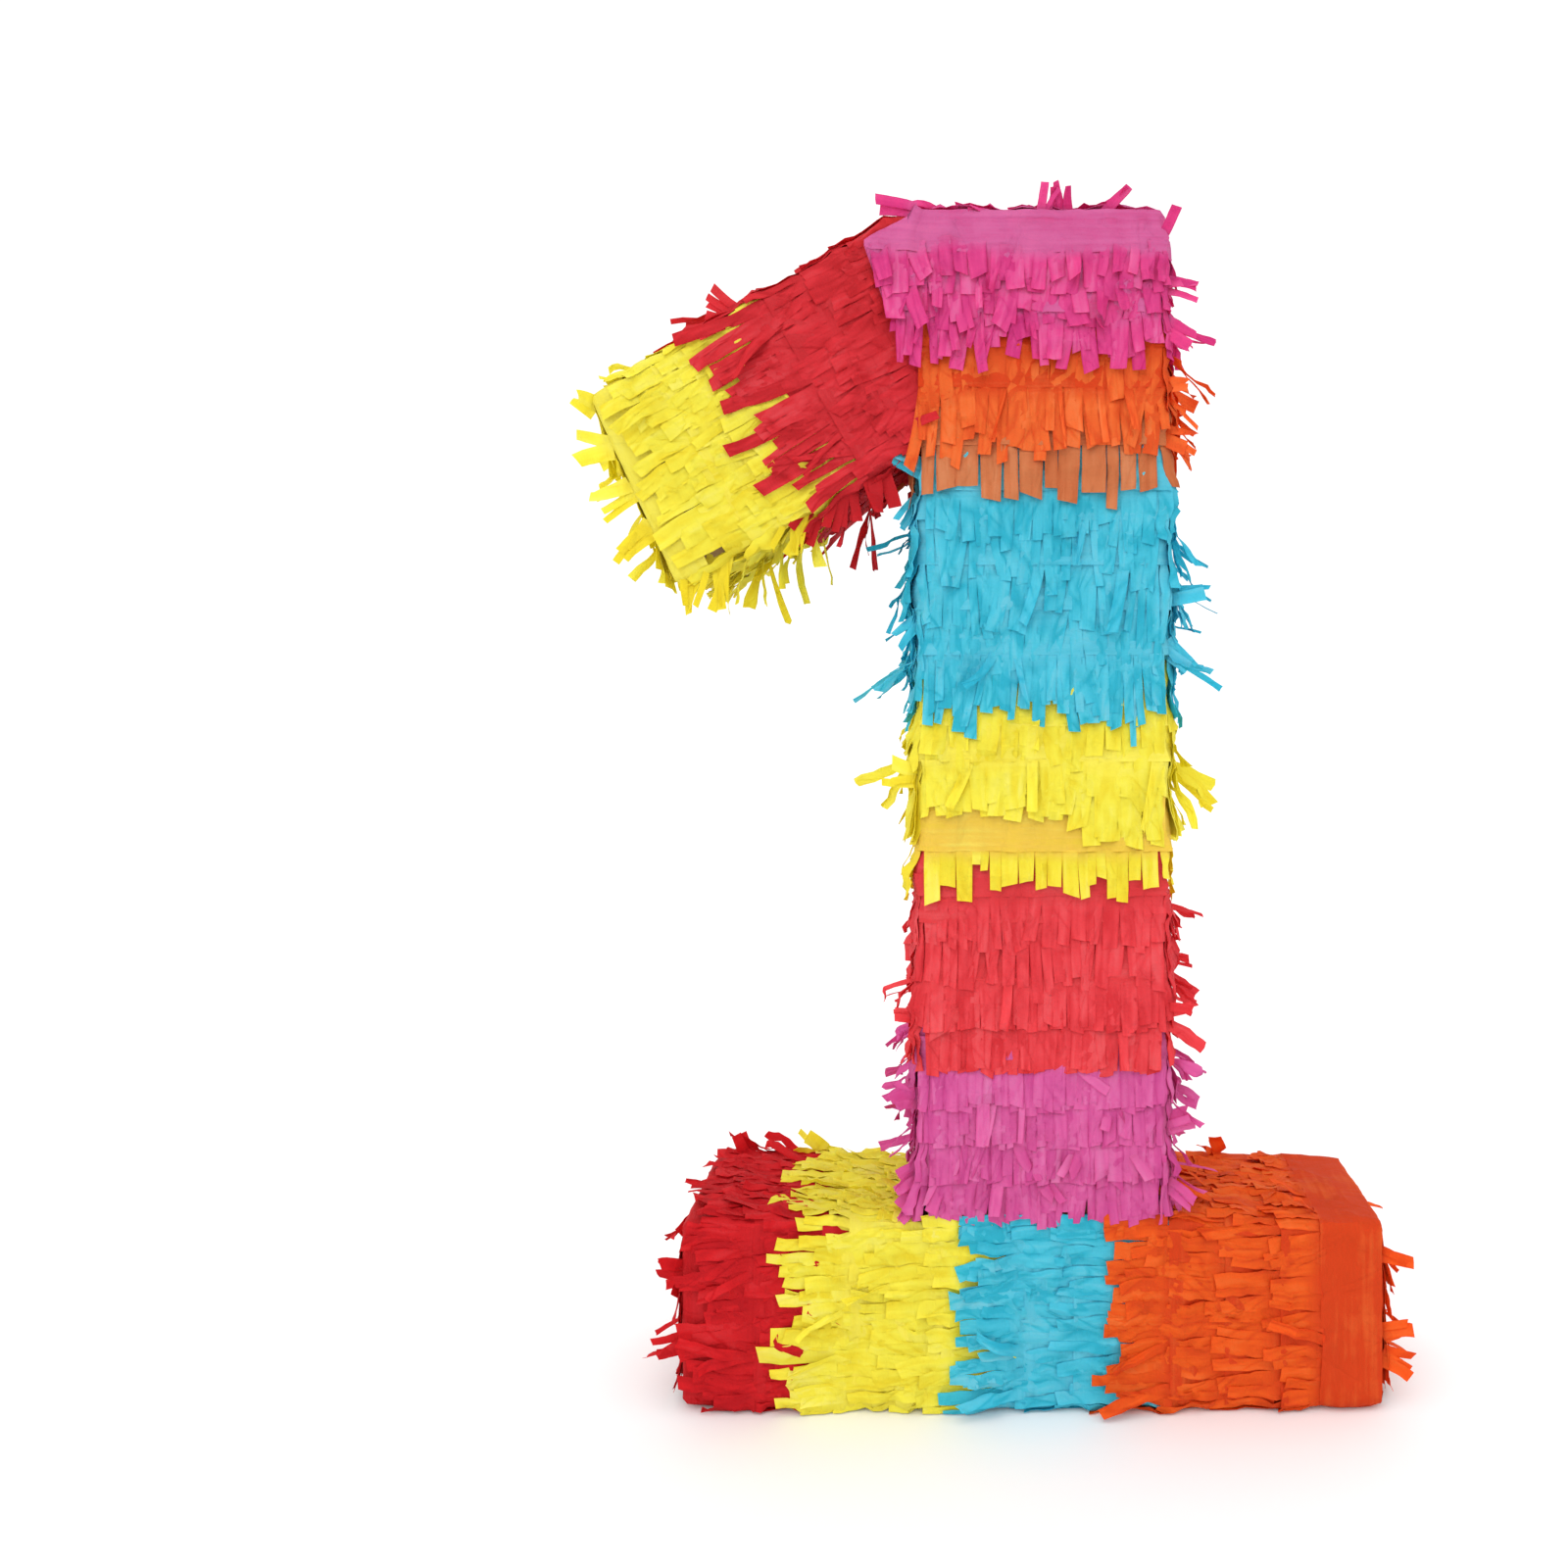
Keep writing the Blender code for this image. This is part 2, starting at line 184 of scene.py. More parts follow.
def start_fresh():
    bpy.ops.object.select_all(action="DESELECT")
    bpy.context.view_layer.objects.active = None


def sheet_cells(across, along):
    """A sheet of paper one unit wide and long, divided into cells, with both its faces and its rim."""
    start_fresh()
    bpy.ops.mesh.primitive_grid_add(x_subdivisions=across, y_subdivisions=along, size=1, location=(0, 0.5, 0))
    sheet = bpy.context.object
    bpy.ops.object.transform_apply(location=True, rotation=True, scale=True)
    body = sheet.modifiers.new("body", "SOLIDIFY")
    body.thickness = 1.0
    body.offset = 0.0
    bpy.ops.object.modifier_apply(modifier="body")
    corners = np.empty(len(sheet.data.vertices) * 3)
    sheet.data.vertices.foreach_get("co", corners)
    faces = [list(face.vertices) for face in sheet.data.polygons]
    bpy.data.objects.remove(sheet, do_unlink=True)
    return corners.reshape(-1, 3), np.array(faces)


STATIONS = 8
strand_corners, strand_faces = sheet_cells(2, STATIONS)


def held_in(values, level, room):
    """Values, with what passes a level slowed down so that it never passes it by more than the room."""
    beyond = np.maximum(values - level, 0)
    return np.minimum(values, level) + room * np.tanh(beyond / room)


class Heap:
    """Corners, faces, paper coordinates and tone, gathered until they are made one piece."""

    def __init__(self):
        self.corners, self.faces, self.strip = [], [], []
        self.tone, self.reached, self.rim = [], [], []
        self.count = 0

    def add(self, corners, faces, strip, tone, reached, rim, turned):
        """Adds a part; turned says that its axes are left-handed, and winds its faces the other way."""
        self.corners.append(corners)
        self.faces.append((faces[:, ::-1] if turned else faces) + self.count)
        self.strip.append(strip)
        self.tone.append(tone)
        self.reached.append(reached)
        self.rim.append(rim)
        self.count += len(corners)

    def piece(self, name, finish):
        corners = np.concatenate(self.corners)
        corners[:, 2] = -held_in(-corners[:, 2], -FLOOR_SOFT, FLOOR_SOFT - FLOOR_CLEAR)
        corners[:, 1] = held_in(corners[:, 1], FURTHEST_Y, SOFT_ROOM)
        corners[:, 1] = -held_in(-corners[:, 1], FURTHEST_Y, SOFT_ROOM)
        corners[:, 0] = held_in(corners[:, 0], FURTHEST_X, SOFT_ROOM)
        mesh = bpy.data.meshes.new(name)
        mesh.from_pydata(corners, [], np.concatenate(self.faces))
        strip = np.concatenate(self.strip)
        order = np.empty(len(mesh.loops), dtype=np.int32)
        mesh.loops.foreach_get("vertex_index", order)
        mesh.uv_layers.new(name="strip").uv.foreach_set("vector", strip[order].ravel())
        for key, values in (("tone", self.tone), ("reached", self.reached), ("rim", self.rim)):
            mesh.attributes.new(key, "FLOAT", "POINT").data.foreach_set("value", np.concatenate(values))
        mesh.materials.append(finish)
        made = bpy.data.objects.new(name, mesh)
        bpy.context.scene.collection.objects.link(made)
        start_fresh()
        made.select_set(True)
        bpy.context.view_layer.objects.active = made
        bpy.ops.object.shade_smooth_by_angle(angle=math.radians(50))
        return made


def ripple(draw, count, u, v, wave, height):
    """A sum of slow waves over a sheet, for its unevenness."""
    total = np.zeros_like(u)
    for _ in range(count):
        heading = draw.uniform(0, math.tau)
        length = wave * draw.uniform(0.6, 1.8)
        phase = draw.uniform(0, math.tau)
        total += np.sin((u * math.cos(heading) + v * math.sin(heading)) * math.tau / length + phase)
    return total * height / math.sqrt(count)


class Creases:
    """Short creases pressed through all the layers of paper at once, as heights over the object's space."""

    def __init__(self, seed, count, shortest, longest, height):
        draw = np.random.default_rng(seed)
        self.heading = unit(draw.normal(size=(count, 3)))
        self.length = draw.uniform(shortest, longest, count)
        self.phase = draw.uniform(0, math.tau, count)
        self.patch_heading = unit(draw.normal(size=(count, 3)))
        self.patch_length = draw.uniform(2.0, 4.5, count) * self.length
        self.patch_phase = draw.uniform(0, math.tau, count)
        self.height = height

    def at(self, places):
        total = np.zeros(places.shape[:-1])
        for index in range(len(self.length)):
            along = places @ self.heading[index] * math.pi / self.length[index] + self.phase[index]
            across = places @ self.patch_heading[index] * math.tau / self.patch_length[index]
            ridge = (1 - np.abs(np.sin(along))) ** 2.5
            total += ridge * np.clip(np.sin(across + self.patch_phase[index]) - 0.15, 0, 1)
        return total * self.height


CREASES = Creases(11, 20, 9 * MM, 28 * MM, 2.0 * MM)


def lay_header(heap, draw, path, limb, low, high, rise, crumple, fold):
    """The glued edge of a strip, between heights low and high above the limb's origin."""
    length = path.distance[-1]
    corners, faces = sheet_cells(max(2, int(length / (3.2 * MM))), 7 if fold is not None else 4)
    distance = (corners[:, 0] + 0.5) * length
    place, outward, _, _ = path.at(distance)
    bottom = np.interp(distance, path.distance, low)
    top = np.interp(distance, path.distance, high)
    edge = None if fold is None else np.interp(distance, path.distance, fold)
    turned_over = np.zeros_like(top) if fold is None else np.where(top >= edge - 0.1 * MM, FOLD_OVER, 0.0)
    height = bottom + (top + turned_over - bottom) * corners[:, 1]
    lift = np.interp(distance, path.distance, rise)
    lift = lift + np.abs(ripple(draw, 5, distance, height, 18 * MM, 0.22 * MM))
    pressed = np.interp(distance, path.distance, crumple)
    if fold is not None:
        pressed = pressed * np.clip((edge - height) / (14 * MM), 0.15, 1)
    lift = lift + pressed * CREASES.at(place - limb["tips"] * height[:, None])
    if fold is None:
        lift = lift - 1.5 * MM * np.clip((height - bottom) / (15 * MM), 0, 1)
    offset = lift + corners[:, 2] * SHEET
    straight = height if fold is None else edge + GLUE_LINE - EDGE_ROUND
    beyond = np.maximum(height - straight, 0)
    bend = np.minimum(beyond / EDGE_ROUND, math.pi / 2)
    flat = np.maximum(beyond - EDGE_ROUND * math.pi / 2, 0)
    level = height - beyond + EDGE_ROUND * np.sin(bend)
    inward = EDGE_ROUND * (1 - np.cos(bend)) + flat
    facing = outward * np.cos(bend)[:, None] - limb["tips"] * np.sin(bend)[:, None]
    made = place - limb["tips"] * level[:, None] - outward * inward[:, None] + facing * offset[:, None]
    strip = np.stack((distance, height), axis=-1)
    tone = np.full(len(made), 0.5) + ripple(draw, 3, distance, height, 60 * MM, 0.05)
    nothing = np.zeros(len(made))
    heap.add(made, faces, strip, tone, nothing, nothing, left_handed(path, -limb["tips"]))


def left_handed(path, along):
    """Whether onward, along and outward are left-handed axes on a path."""
    return np.median((np.cross(path.onward, along) * path.outward).sum(-1)) < 0


# How the strands of a side hang. Angles are in degrees and heights in millimetres:
# plies      how many layers of strands show
# lift       the angle off the board at the root, and spread how much it differs
# curl       the bend towards the tip, and curl_spread how much it differs
# sway       the lean to either side; twist the turn about the strand; crease the unevenness along it
# bunch      the lift, and lean the sway, that neighbours share
# crumple    the share of the creases that are pressed through all the layers
# off        how far the tips stand off, and stagger how much higher the second ply is cut
# shade      how deep the strands' colour lies, lower for darker, pushed down in SHADED to paint shade on tufts under the arm; and tone how much it differs
# wild       the share that has sprung out, flip how far those turn over, most the steepest angle
NEAT = dict(plies=2, lift=1.0, spread=0.7, curl=1, curl_spread=2.2, sway=1.6, twist=5, crease=2.2, bunch=1,
            lean=1.5, crumple=1.0, off=0.7, stagger=1.0, shade=0.5, tone=0.95, wild=0.03, flip=25, most=40)
RUFFLED = dict(NEAT, crumple=1.0, sway=4.5, lean=5, off=0.45, stagger=2.5, wild=0.05, flip=50, tone=0.8)
PRESSED = dict(plies=1, lift=0.0, spread=0.2, curl=0, curl_spread=0.7, sway=4.0, twist=1.5, crease=1.2,
               bunch=0.3, lean=6, crumple=1.0, off=0.12, stagger=8.0, shade=0.5, tone=0.38, wild=0.035,
               flip=50, most=42)
LOOSE = dict(PRESSED, sway=7, off=1.0, tone=1.1, wild=0.10, bunch=1.0, curl_spread=3, plies=2, stagger=4)
COMBED = dict(plies=2, lift=1, spread=1.2, curl=1, curl_spread=3.5, sway=4, twist=6, crease=4, bunch=1.5,
              lean=5, crumple=0.7, off=0.6, stagger=5.0, shade=0.55, tone=1.0, wild=0.05, flip=50, most=36)
MESSY = dict(plies=2, lift=2, spread=2, curl=2, curl_spread=8, sway=9, twist=9, crease=7, bunch=4, lean=7,
             crumple=1.0, off=0.6, stagger=5.0, shade=0.5, tone=0.9, wild=0.12, flip=50, most=48)
SPLAYED = dict(plies=2, lift=2.5, spread=3, curl=3, curl_spread=7, sway=7, twist=8, crease=6, bunch=5, lean=5,
               crumple=1.0, off=1.0, stagger=3.0, shade=0.35, tone=1.0, wild=0.10, flip=75, most=90)
TUCKED = dict(plies=2, lift=1, spread=1, curl=0, curl_spread=1, sway=2, twist=2, crease=2, bunch=0, lean=0,
              crumple=1.0, off=0.6, stagger=0.0, shade=0.4, tone=0.5, wild=0.0, flip=0, most=10)
SPRUNG = dict(plies=1, lift=6, spread=12, curl=4, curl_spread=24, sway=18, twist=40, crease=10, bunch=6,
              lean=6, crumple=0.0, off=0.0, stagger=0.0, shade=0.45, tone=1.0, wild=0.0, flip=0, most=110)
# Tufts with much darker colour: painted shade for strands that hang under the arm
SHADED = dict(SPRUNG, shade=-0.5, tone=0.7)


def kept_within(root, travel, limit):
    """A strand's travel along one axis, scaled down where it would pass the limit on either side."""
    reach = travel + root[:, None]
    over = np.maximum(reach.max(axis=1), -reach.min(axis=1)) > limit
    room = np.maximum(limit - np.abs(root), 0)
    size = np.maximum(np.abs(travel).max(axis=1), 1e-9)
    return travel * np.where(over, np.minimum(room / size, 1), 1.0)[:, None]


def lay_strands(heap, draw, path, limb, low, high, rise, width, manner, ragged, ply, cover, wander=0.0):
    """A ply's cut strands, from heights high down to low, side by side along a path."""
    length = path.distance[-1]
    widths = draw.uniform(0.62, 1.4, size=int(length / (0.5 * width)) + 4) * width
    ends = np.cumsum(widths)
    widths = widths[ends < length + 0.5 * width]
    if len(widths) == 0:
        return
    widths *= length / widths.sum()
    middles = np.cumsum(widths) - widths / 2
    place, outward, onward, side = path.at(middles)
    shared_length = ripple(draw, 4, middles, middles * 0, 26 * MM, ragged * 1.2)
    shared_length = shared_length + ply * np.array([manner[tag]["stagger"] for tag in side]) * MM
    tip = np.interp(middles, path.distance, low) + draw.normal(0, ragged, len(middles)) + shared_length
    root = np.interp(middles, path.distance, high) + draw.uniform(0.2, 1.0, len(middles)) * MM
    wandering = np.abs(ripple(draw, 4, middles, middles * 0, 30 * MM, wander))
    root = root + wandering * draw.uniform(0.3, 1, len(middles))
    reach = root - tip
    lasting = (reach > 4 * MM) & (np.array([manner[tag]["plies"] for tag in side]) > ply)
    place, outward, onward, side = place[lasting], outward[lasting], onward[lasting], side[lasting]
    widths, middles, tip, root, reach = (row[lasting] for row in (widths, middles, tip, root, reach))
    count = len(widths)
    if count == 0:
        return

    def of(key):
        return np.array([manner[tag][key] for tag in side], dtype=float)

    share = np.linspace(0, 1, STATIONS + 1)
    in_bunches = np.clip(1 + 2.2 * ripple(draw, 3, middles, middles * 0, 22 * MM, 1.0), 0, 4)
    wild = draw.random(count) < of("wild") * in_bunches * (1.3 if ply else 0.5)
    bunch = ripple(draw, 4, middles, middles * 0, 24 * MM, 1.0) * of("bunch")
    lean_bunch = ripple(draw, 4, middles, middles * 0, 24 * MM, 1.0) * of("lean")
    lift = of("lift") + draw.normal(0, 1, count) * of("spread") + np.maximum(bunch, -of("lift") * 0.7)
    curl = of("curl") + draw.normal(0, 1, count) * of("curl_spread")
    sway = draw.normal(0, 1, count) * of("sway") + lean_bunch
    twist = draw.normal(0, 1, count) * of("twist")
    lift = lift + wild * draw.uniform(0.15, 0.75, count) * of("most")
    curl = curl + wild * draw.uniform(-30, 55, count)
    sway = sway + wild * draw.normal(0, 20, count)
    twist = twist + wild * draw.normal(0, 1, count) * of("flip")
    crease = draw.normal(0, 1, (count, STATIONS + 1)) * of("crease")[:, None]
    veer = draw.normal(0, 0.5, (count, STATIONS + 1)) * of("crease")[:, None]
    rising = lift[:, None] + curl[:, None] * share ** 1.5 + crease * np.minimum(share * 2, 1)
    rising = np.clip(rising, -25, of("most")[:, None])
    rising[:, 0] = np.minimum(rising[:, 0], 25)
    leaning = sway[:, None] * (0.4 + 0.6 * share) + np.cumsum(veer, axis=1) * 0.35
    turning = twist[:, None] * share + np.cumsum(crease, axis=1) * 0.2
    rising, leaning, turning = np.radians(rising), np.radians(leaning), np.radians(turning)

    tips = limb["tips"]
    heading = (
        tips * (np.cos(rising) * np.cos(leaning))[..., None]
        + onward[:, None] * (np.cos(rising) * np.sin(leaning))[..., None]
        + outward[:, None] * np.sin(rising)[..., None]
    )
    heading = heading - UP * (limb["droop"] * share ** 1.2)[None, :, None] * np.abs(np.sin(rising))[..., None]
    heading = unit(heading)
    step = reach / STATIONS
    onwards = np.cumsum(heading[:, :-1] * step[:, None, None], axis=1)
    travel = np.concatenate((np.zeros((count, 1, 3)), onwards), axis=1)
    travel[..., 1] = kept_within(place[:, 1], travel[..., 1], FURTHEST_Y)
    off_board = ply * PLY_LIFT + np.interp(middles, path.distance, rise)
    line = (place - tips * root[:, None] + outward * off_board[:, None])[:, None] + travel
    standing = (travel * outward[:, None]).sum(-1)
    needed = share * (of("off") * draw.uniform(0.75, 1.6, count) * MM)[:, None]
    needed = needed + np.abs(np.sin(turning)) * widths[:, None] * 0.25
    shingled = (share - 0.35) * SHINGLE
    line = line + outward[:, None] * (np.maximum(needed - standing, 0) + shingled)[..., None]

    sideways = unit(np.cross(heading, outward[:, None]))
    sideways = sideways * np.sign((sideways * onward[:, None]).sum(-1, keepdims=True) + 1e-9)
    facing = unit(np.cross(sideways, heading))
    facing = facing * np.sign((facing * outward[:, None]).sum(-1, keepdims=True) + 1e-9)
    across = sideways * np.cos(turning)[..., None] + facing * np.sin(turning)[..., None]
    outer = facing * np.cos(turning)[..., None] - sideways * np.sin(turning)[..., None]

    station = np.rint(strand_corners[:, 1] * STATIONS).astype(int)
    x, z = strand_corners[:, 0], strand_corners[:, 2]
    taper = 1 - draw.uniform(-0.08, 0.20, count)[:, None] * share
    cup = draw.normal(0, 0.09, count) * widths
    slant = draw.normal(0, 0.18, count) * widths
    cupping = (cup[:, None] * share)[:, station] * (1 - 4 * x ** 2)
    breadth = widths * cover * np.where(wild, draw.uniform(0.5, 0.9, count), 1.0)
    spread_at = middles[:, None] + x * breadth[:, None]
    past_end = spread_at - np.clip(spread_at, 0, length)
    round_bend = path.at(spread_at)[0] - place[:, None]
    along_path = (round_bend * onward[:, None]).sum(-1) + past_end
    into_path = (round_bend * outward[:, None]).sum(-1)
    made = (
        line[:, station]
        + across[:, station] * (along_path * taper[:, station])[..., None]
        + outer[:, station] * (into_path + z * SHEET + cupping)[..., None]
        + heading[:, station] * (x * slant[:, None] * (station == STATIONS))[..., None]
    )
    pressed = CREASES.at(made) * of("crumple")[:, None]
    made = made + outward[:, None] * pressed[..., None]
    height = root[:, None] - reach[:, None] * strand_corners[:, 1]
    strip = np.stack((middles[:, None] + x * widths[:, None], height), axis=-1)
    shade = of("shade") + (draw.random(count) - 0.5) * of("tone")
    tone = np.broadcast_to(shade[:, None], made.shape[:2])
    reached = np.broadcast_to(0.1 + 0.9 * strand_corners[:, 1], made.shape[:2])
    faces = (strand_faces[None] + (np.arange(count) * len(strand_corners))[:, None, None]).reshape(-1, 4)
    # how near each corner lies to its strand's side edges, which the paper's painted shade between strands
    # reads
    rim = np.broadcast_to(np.abs(x) * 2, made.shape[:2])
    turned = left_handed(path, tips)
    heap.add(
        made.reshape(-1, 3), faces, strip.reshape(-1, 2), tone.ravel(), reached.ravel(), rim.ravel(), turned,
    )


def lay_strip(heap, seed, path, limb, tips_at, top_at, manner, width, ragged, lowest=None, highest=None,
              rise=None, header=HEADER, plies=2, cover=1.06, fold=None, underlap=UNDERLAP, wander=0.0):
    """A strip of fringe along a path, cut off where lowest and highest say; tips_at may vary along it."""
    draw = np.random.default_rng(seed)
    many = len(path.places)
    lowest = np.full(many, -NO_LIMIT) if lowest is None else lowest
    highest = np.full(many, NO_LIMIT) if highest is None else highest
    rise = np.zeros(many) if rise is None else rise
    root = np.minimum(top_at - header, highest)
    tips = np.maximum(tips_at, lowest)
    top = np.minimum(top_at + (LONG_UNDERLAP if header == PRESSED_HEADER else underlap), highest)
    bottom = np.maximum(root, lowest)
    crumple = np.array([manner[tag]["crumple"] for tag in path.side])
    for run in runs(top - bottom > 0.6 * MM):
        edge = None if fold is None else (np.zeros(many) + fold)[run]
        lay_header(heap, draw, path.part(run), limb, bottom[run], top[run], rise[run], crumple[run], edge)
    for run in runs(root - tips > 4 * MM):
        for ply in range(plies):
            part = path.part(run)
            level = (tips[run], root[run], rise[run])
            lay_strands(heap, draw, part, limb, *level, width, manner, ragged, ply, cover, wander)


def lay_border(heap, seed, path, limb, end):
    """Plain paper along a limb's tips end, turned over on its end face; end is how far out the board goes."""
    outwards = dict(limb, tips=-limb["tips"])
    draw = np.random.default_rng(seed)
    level = np.zeros(len(path.places))
    low, sunk, lightly_pressed = end - 14 * MM, level - 0.2 * MM, level + 0.3
    lay_header(heap, draw, path, outwards, low, end + level, sunk, lightly_pressed, end + level)


def lay_tuft(heap, seed, root, tips, outward, many, reach, manner):
    """A few strands that have sprung out together from one place."""
    width = 5 * MM
    tips, outward = unit(np.array(tips, dtype=float)), unit(np.array(outward, dtype=float))
    across = unit(np.cross(tips, outward))
    outward = unit(np.cross(across, tips))
    share = np.linspace(-0.5, 0.5, 6)[:, None]
    places = np.array(root) + tips * reach + share * across * (many * width * 0.55)
    path = Path(places, np.tile(outward, (6, 1)), np.tile(across, (6, 1)), np.full(6, FRONT_SIDE))
    limb = dict(tips=tips, droop=0.3)
    draw = np.random.default_rng(seed)
    level = np.zeros(6)
    args = (level, level + reach, level, width * 0.55, {FRONT_SIDE: manner}, reach * 0.08, 0, 1.7)
    lay_strands(heap, draw, path, limb, *args)


# ---------------------------------------------------------------- finishes

class Link:
    """A value on its way through a material's nodes, which arithmetic can be done with."""

    def __init__(self, finish, socket):
        self.finish, self.socket = finish, socket

    def math(self, kind, first, second):
        return self.finish.node("ShaderNodeMath", {"operation": kind}, {0: first, 1: second})["Value"]

    def __add__(self, other):
        return self.math("ADD", self, other)

    def __radd__(self, other):
        return self.math("ADD", other, self)

    def __sub__(self, other):
        return self.math("SUBTRACT", self, other)

    def __rsub__(self, other):
        return self.math("SUBTRACT", other, self)

    def __mul__(self, other):
        return self.math("MULTIPLY", self, other)

    def __rmul__(self, other):
        return self.math("MULTIPLY", other, self)

    def __gt__(self, other):
        return self.math("GREATER_THAN", self, other)

    def __lt__(self, other):
        return self.math("LESS_THAN", self, other)


class Finish:
    """A material under construction."""

    def __init__(self, name):
        self.material = bpy.data.materials.new(name)
        self.material.use_nodes = True
        self.nodes = self.material.node_tree.nodes
        self.links = self.material.node_tree.links
        self.nodes.clear()

    def node(self, kind, settings=None, sockets=None):
        """A node with its settings and its sockets' values or links; returns its outputs by name."""
        made = self.nodes.new(kind)
        for key, value in (settings or {}).items():
            setattr(made, key, value)
        for key, value in (sockets or {}).items():
            if isinstance(value, Link):
                self.links.new(value.socket, made.inputs[key])
            else:
                made.inputs[key].default_value = value
        return {output.name: Link(self, output) for output in made.outputs if output.enabled}

    def noise(self, where, scale, detail=2.0, roughness=0.5, distortion=0.0):
        sockets = {"Vector": where, "Scale": scale, "Detail": detail, "Roughness": roughness}
        sockets["Distortion"] = distortion
        return self.node("ShaderNodeTexNoise", {}, sockets)["Fac"]

    def creases(self, strip, turn, spacing, length, sharpness):
        """Soft lines where the paper was pressed, near the strands' direction, and the lumps between them."""
        settings = {"vector_type": "TEXTURE"}
        sockets = {"Vector": strip, "Rotation": (0, 0, turn), "Scale": (spacing, length, 1)}
        level = self.noise(self.node("ShaderNodeMapping", settings, sockets)["Vector"], 1.0, 1.0, 0.45, 0.5)
        return self.clamp(1 - self.absolute(level - 0.5) * sharpness), level

    def clamp(self, value):
        return self.node("ShaderNodeClamp", {}, {"Value": value})["Result"]

    def absolute(self, value):
        return self.node("ShaderNodeMath", {"operation": "ABSOLUTE"}, {0: value})["Value"]

    def attribute(self, name):
        return self.node("ShaderNodeAttribute", {"attribute_name": name})["Fac"]

    def matt(self, colour, roughness, specular, normal):
        sockets = {"Base Color": colour, "Roughness": roughness, "Normal": normal}
        sockets["Specular IOR Level"] = specular
        return self.node("ShaderNodeBsdfPrincipled", {}, sockets)["BSDF"]

    def stretched(self, where, scale):
        return self.node("ShaderNodeMapping", {}, {"Vector": where, "Scale": scale})["Vector"]

    def mix(self, share, first, second):
        made = self.node("ShaderNodeMix", {"data_type": "RGBA"}, {0: share, 6: first, 7: second})
        return made["Result"]

    def bump(self, height, strength, distance):
        sockets = {"Height": height, "Strength": strength, "Distance": distance}
        return self.node("ShaderNodeBump", {}, sockets)["Normal"]

    def surface(self, shader):
        self.node("ShaderNodeOutputMaterial", {}, {"Surface": shader})
        return self.material


SEE_THROUGH = 0.36        # the share of light that goes through crepe paper


def crepe_paper(name, deep, body, pale, plain, glow, side_shade, crease_shade):
    """Dyed crepe paper: crinkles along the strip, cloudy dye and light coming through it.

    Deep, body and pale colour the strands, plain the glued edge and glow the light that comes through.
    The last two say how much painted shade darkens the strands' side edges, between neighbouring strands, and
    the creases.
    """
    deep, body, pale, plain, glow = (colour + (1,) for colour in (deep, body, pale, plain, glow))
    finish = Finish(name)
    strip = finish.node("ShaderNodeUVMap", {"uv_map": "strip"})["UV"]
    place = finish.node("ShaderNodeTexCoord")["Object"]
    tone = finish.attribute("tone")
    reached = finish.attribute("reached")
    rim = finish.attribute("rim")
    cut = finish.clamp((reached - 0.1) * 3.2)
    # the strands' side edges, where painted shade between neighbouring strands darkens the colour
    side_shade_mask = finish.clamp((rim - 0.74) * 3.8)
    crinkle = finish.noise(finish.stretched(strip, (90, 900, 1)), 1.0, 3.0, 0.6, 0.4)
    grain = finish.noise(finish.stretched(strip, (16, 320, 1)), 1.0, 3.0, 0.6, 0.2)
    # streaks along the strands: painted light and shade of their folds in the colour, and also relief
    fold_shading = finish.noise(finish.stretched(strip, (330, 34, 1)), 1.0, 2.0, 0.55, 0.5)
    cloud = finish.noise(place, 42.0, 3.0, 0.55)
    fibre = finish.noise(place, 900.0, 2.0, 0.6)
    steep, steep_lumps = finish.creases(strip, 0.5, 0.011, 0.034, 15.0)
    shallow, shallow_lumps = finish.creases(strip, -0.32, 0.009, 0.040, 13.0)
    here = finish.clamp((finish.noise(place, 46.0, 1.0) - 0.45) * 7.0)
    wrinkle = steep * here + shallow * (1 - here)
    # painted shade: strands are a little darker towards the root, under the row above, and lighter towards
    # the tip
    strand_level = 0.48 + (tone - 0.5) * 0.6 + (fold_shading - 0.5) * 1.2 + (reached - 0.5) * 0.06
    # painted shade: the strands' side edges are darkened, as if shaded between neighbours
    strand_level = strand_level - side_shade_mask * side_shade
    plain_level = 0.5 + (grain - 0.5) * 0.9
    level = plain_level * (1 - cut) + strand_level * cut + (cloud - 0.5) * 0.9 + (fibre - 0.5) * 0.2
    # painted shade: the pressed creases are darkened in the colour, mostly on the strands
    level = level - wrinkle * (cut * crease_shade + 0.04)
    low = finish.clamp(level * 2.0)
    high = finish.clamp(level * 2.0 - 1.0)
    middle = finish.mix(cut, plain, body)
    colour = finish.mix(high * 0.85, finish.mix(low * 0.8 + 0.2, deep, middle), pale)
    lumps = steep_lumps + shallow_lumps
    uneven = crinkle * 0.6 + grain * (1 - cut) + fold_shading * cut + fibre * 0.2 - wrinkle * 0.6
    uneven = uneven + lumps * (cut * 2.4 + 0.3)
    relief = finish.bump(uneven, 0.5, 0.0008)
    dull = 0.72 + (cloud - 0.5) * 0.2
    paper = finish.matt(colour, dull, 0.22, relief)
    through = finish.node("ShaderNodeBsdfTranslucent", {}, {"Color": glow, "Normal": relief})["BSDF"]
    both = finish.node("ShaderNodeMixShader", {}, {0: SEE_THROUGH, 1: paper, 2: through})["Shader"]
    return finish.surface(both)


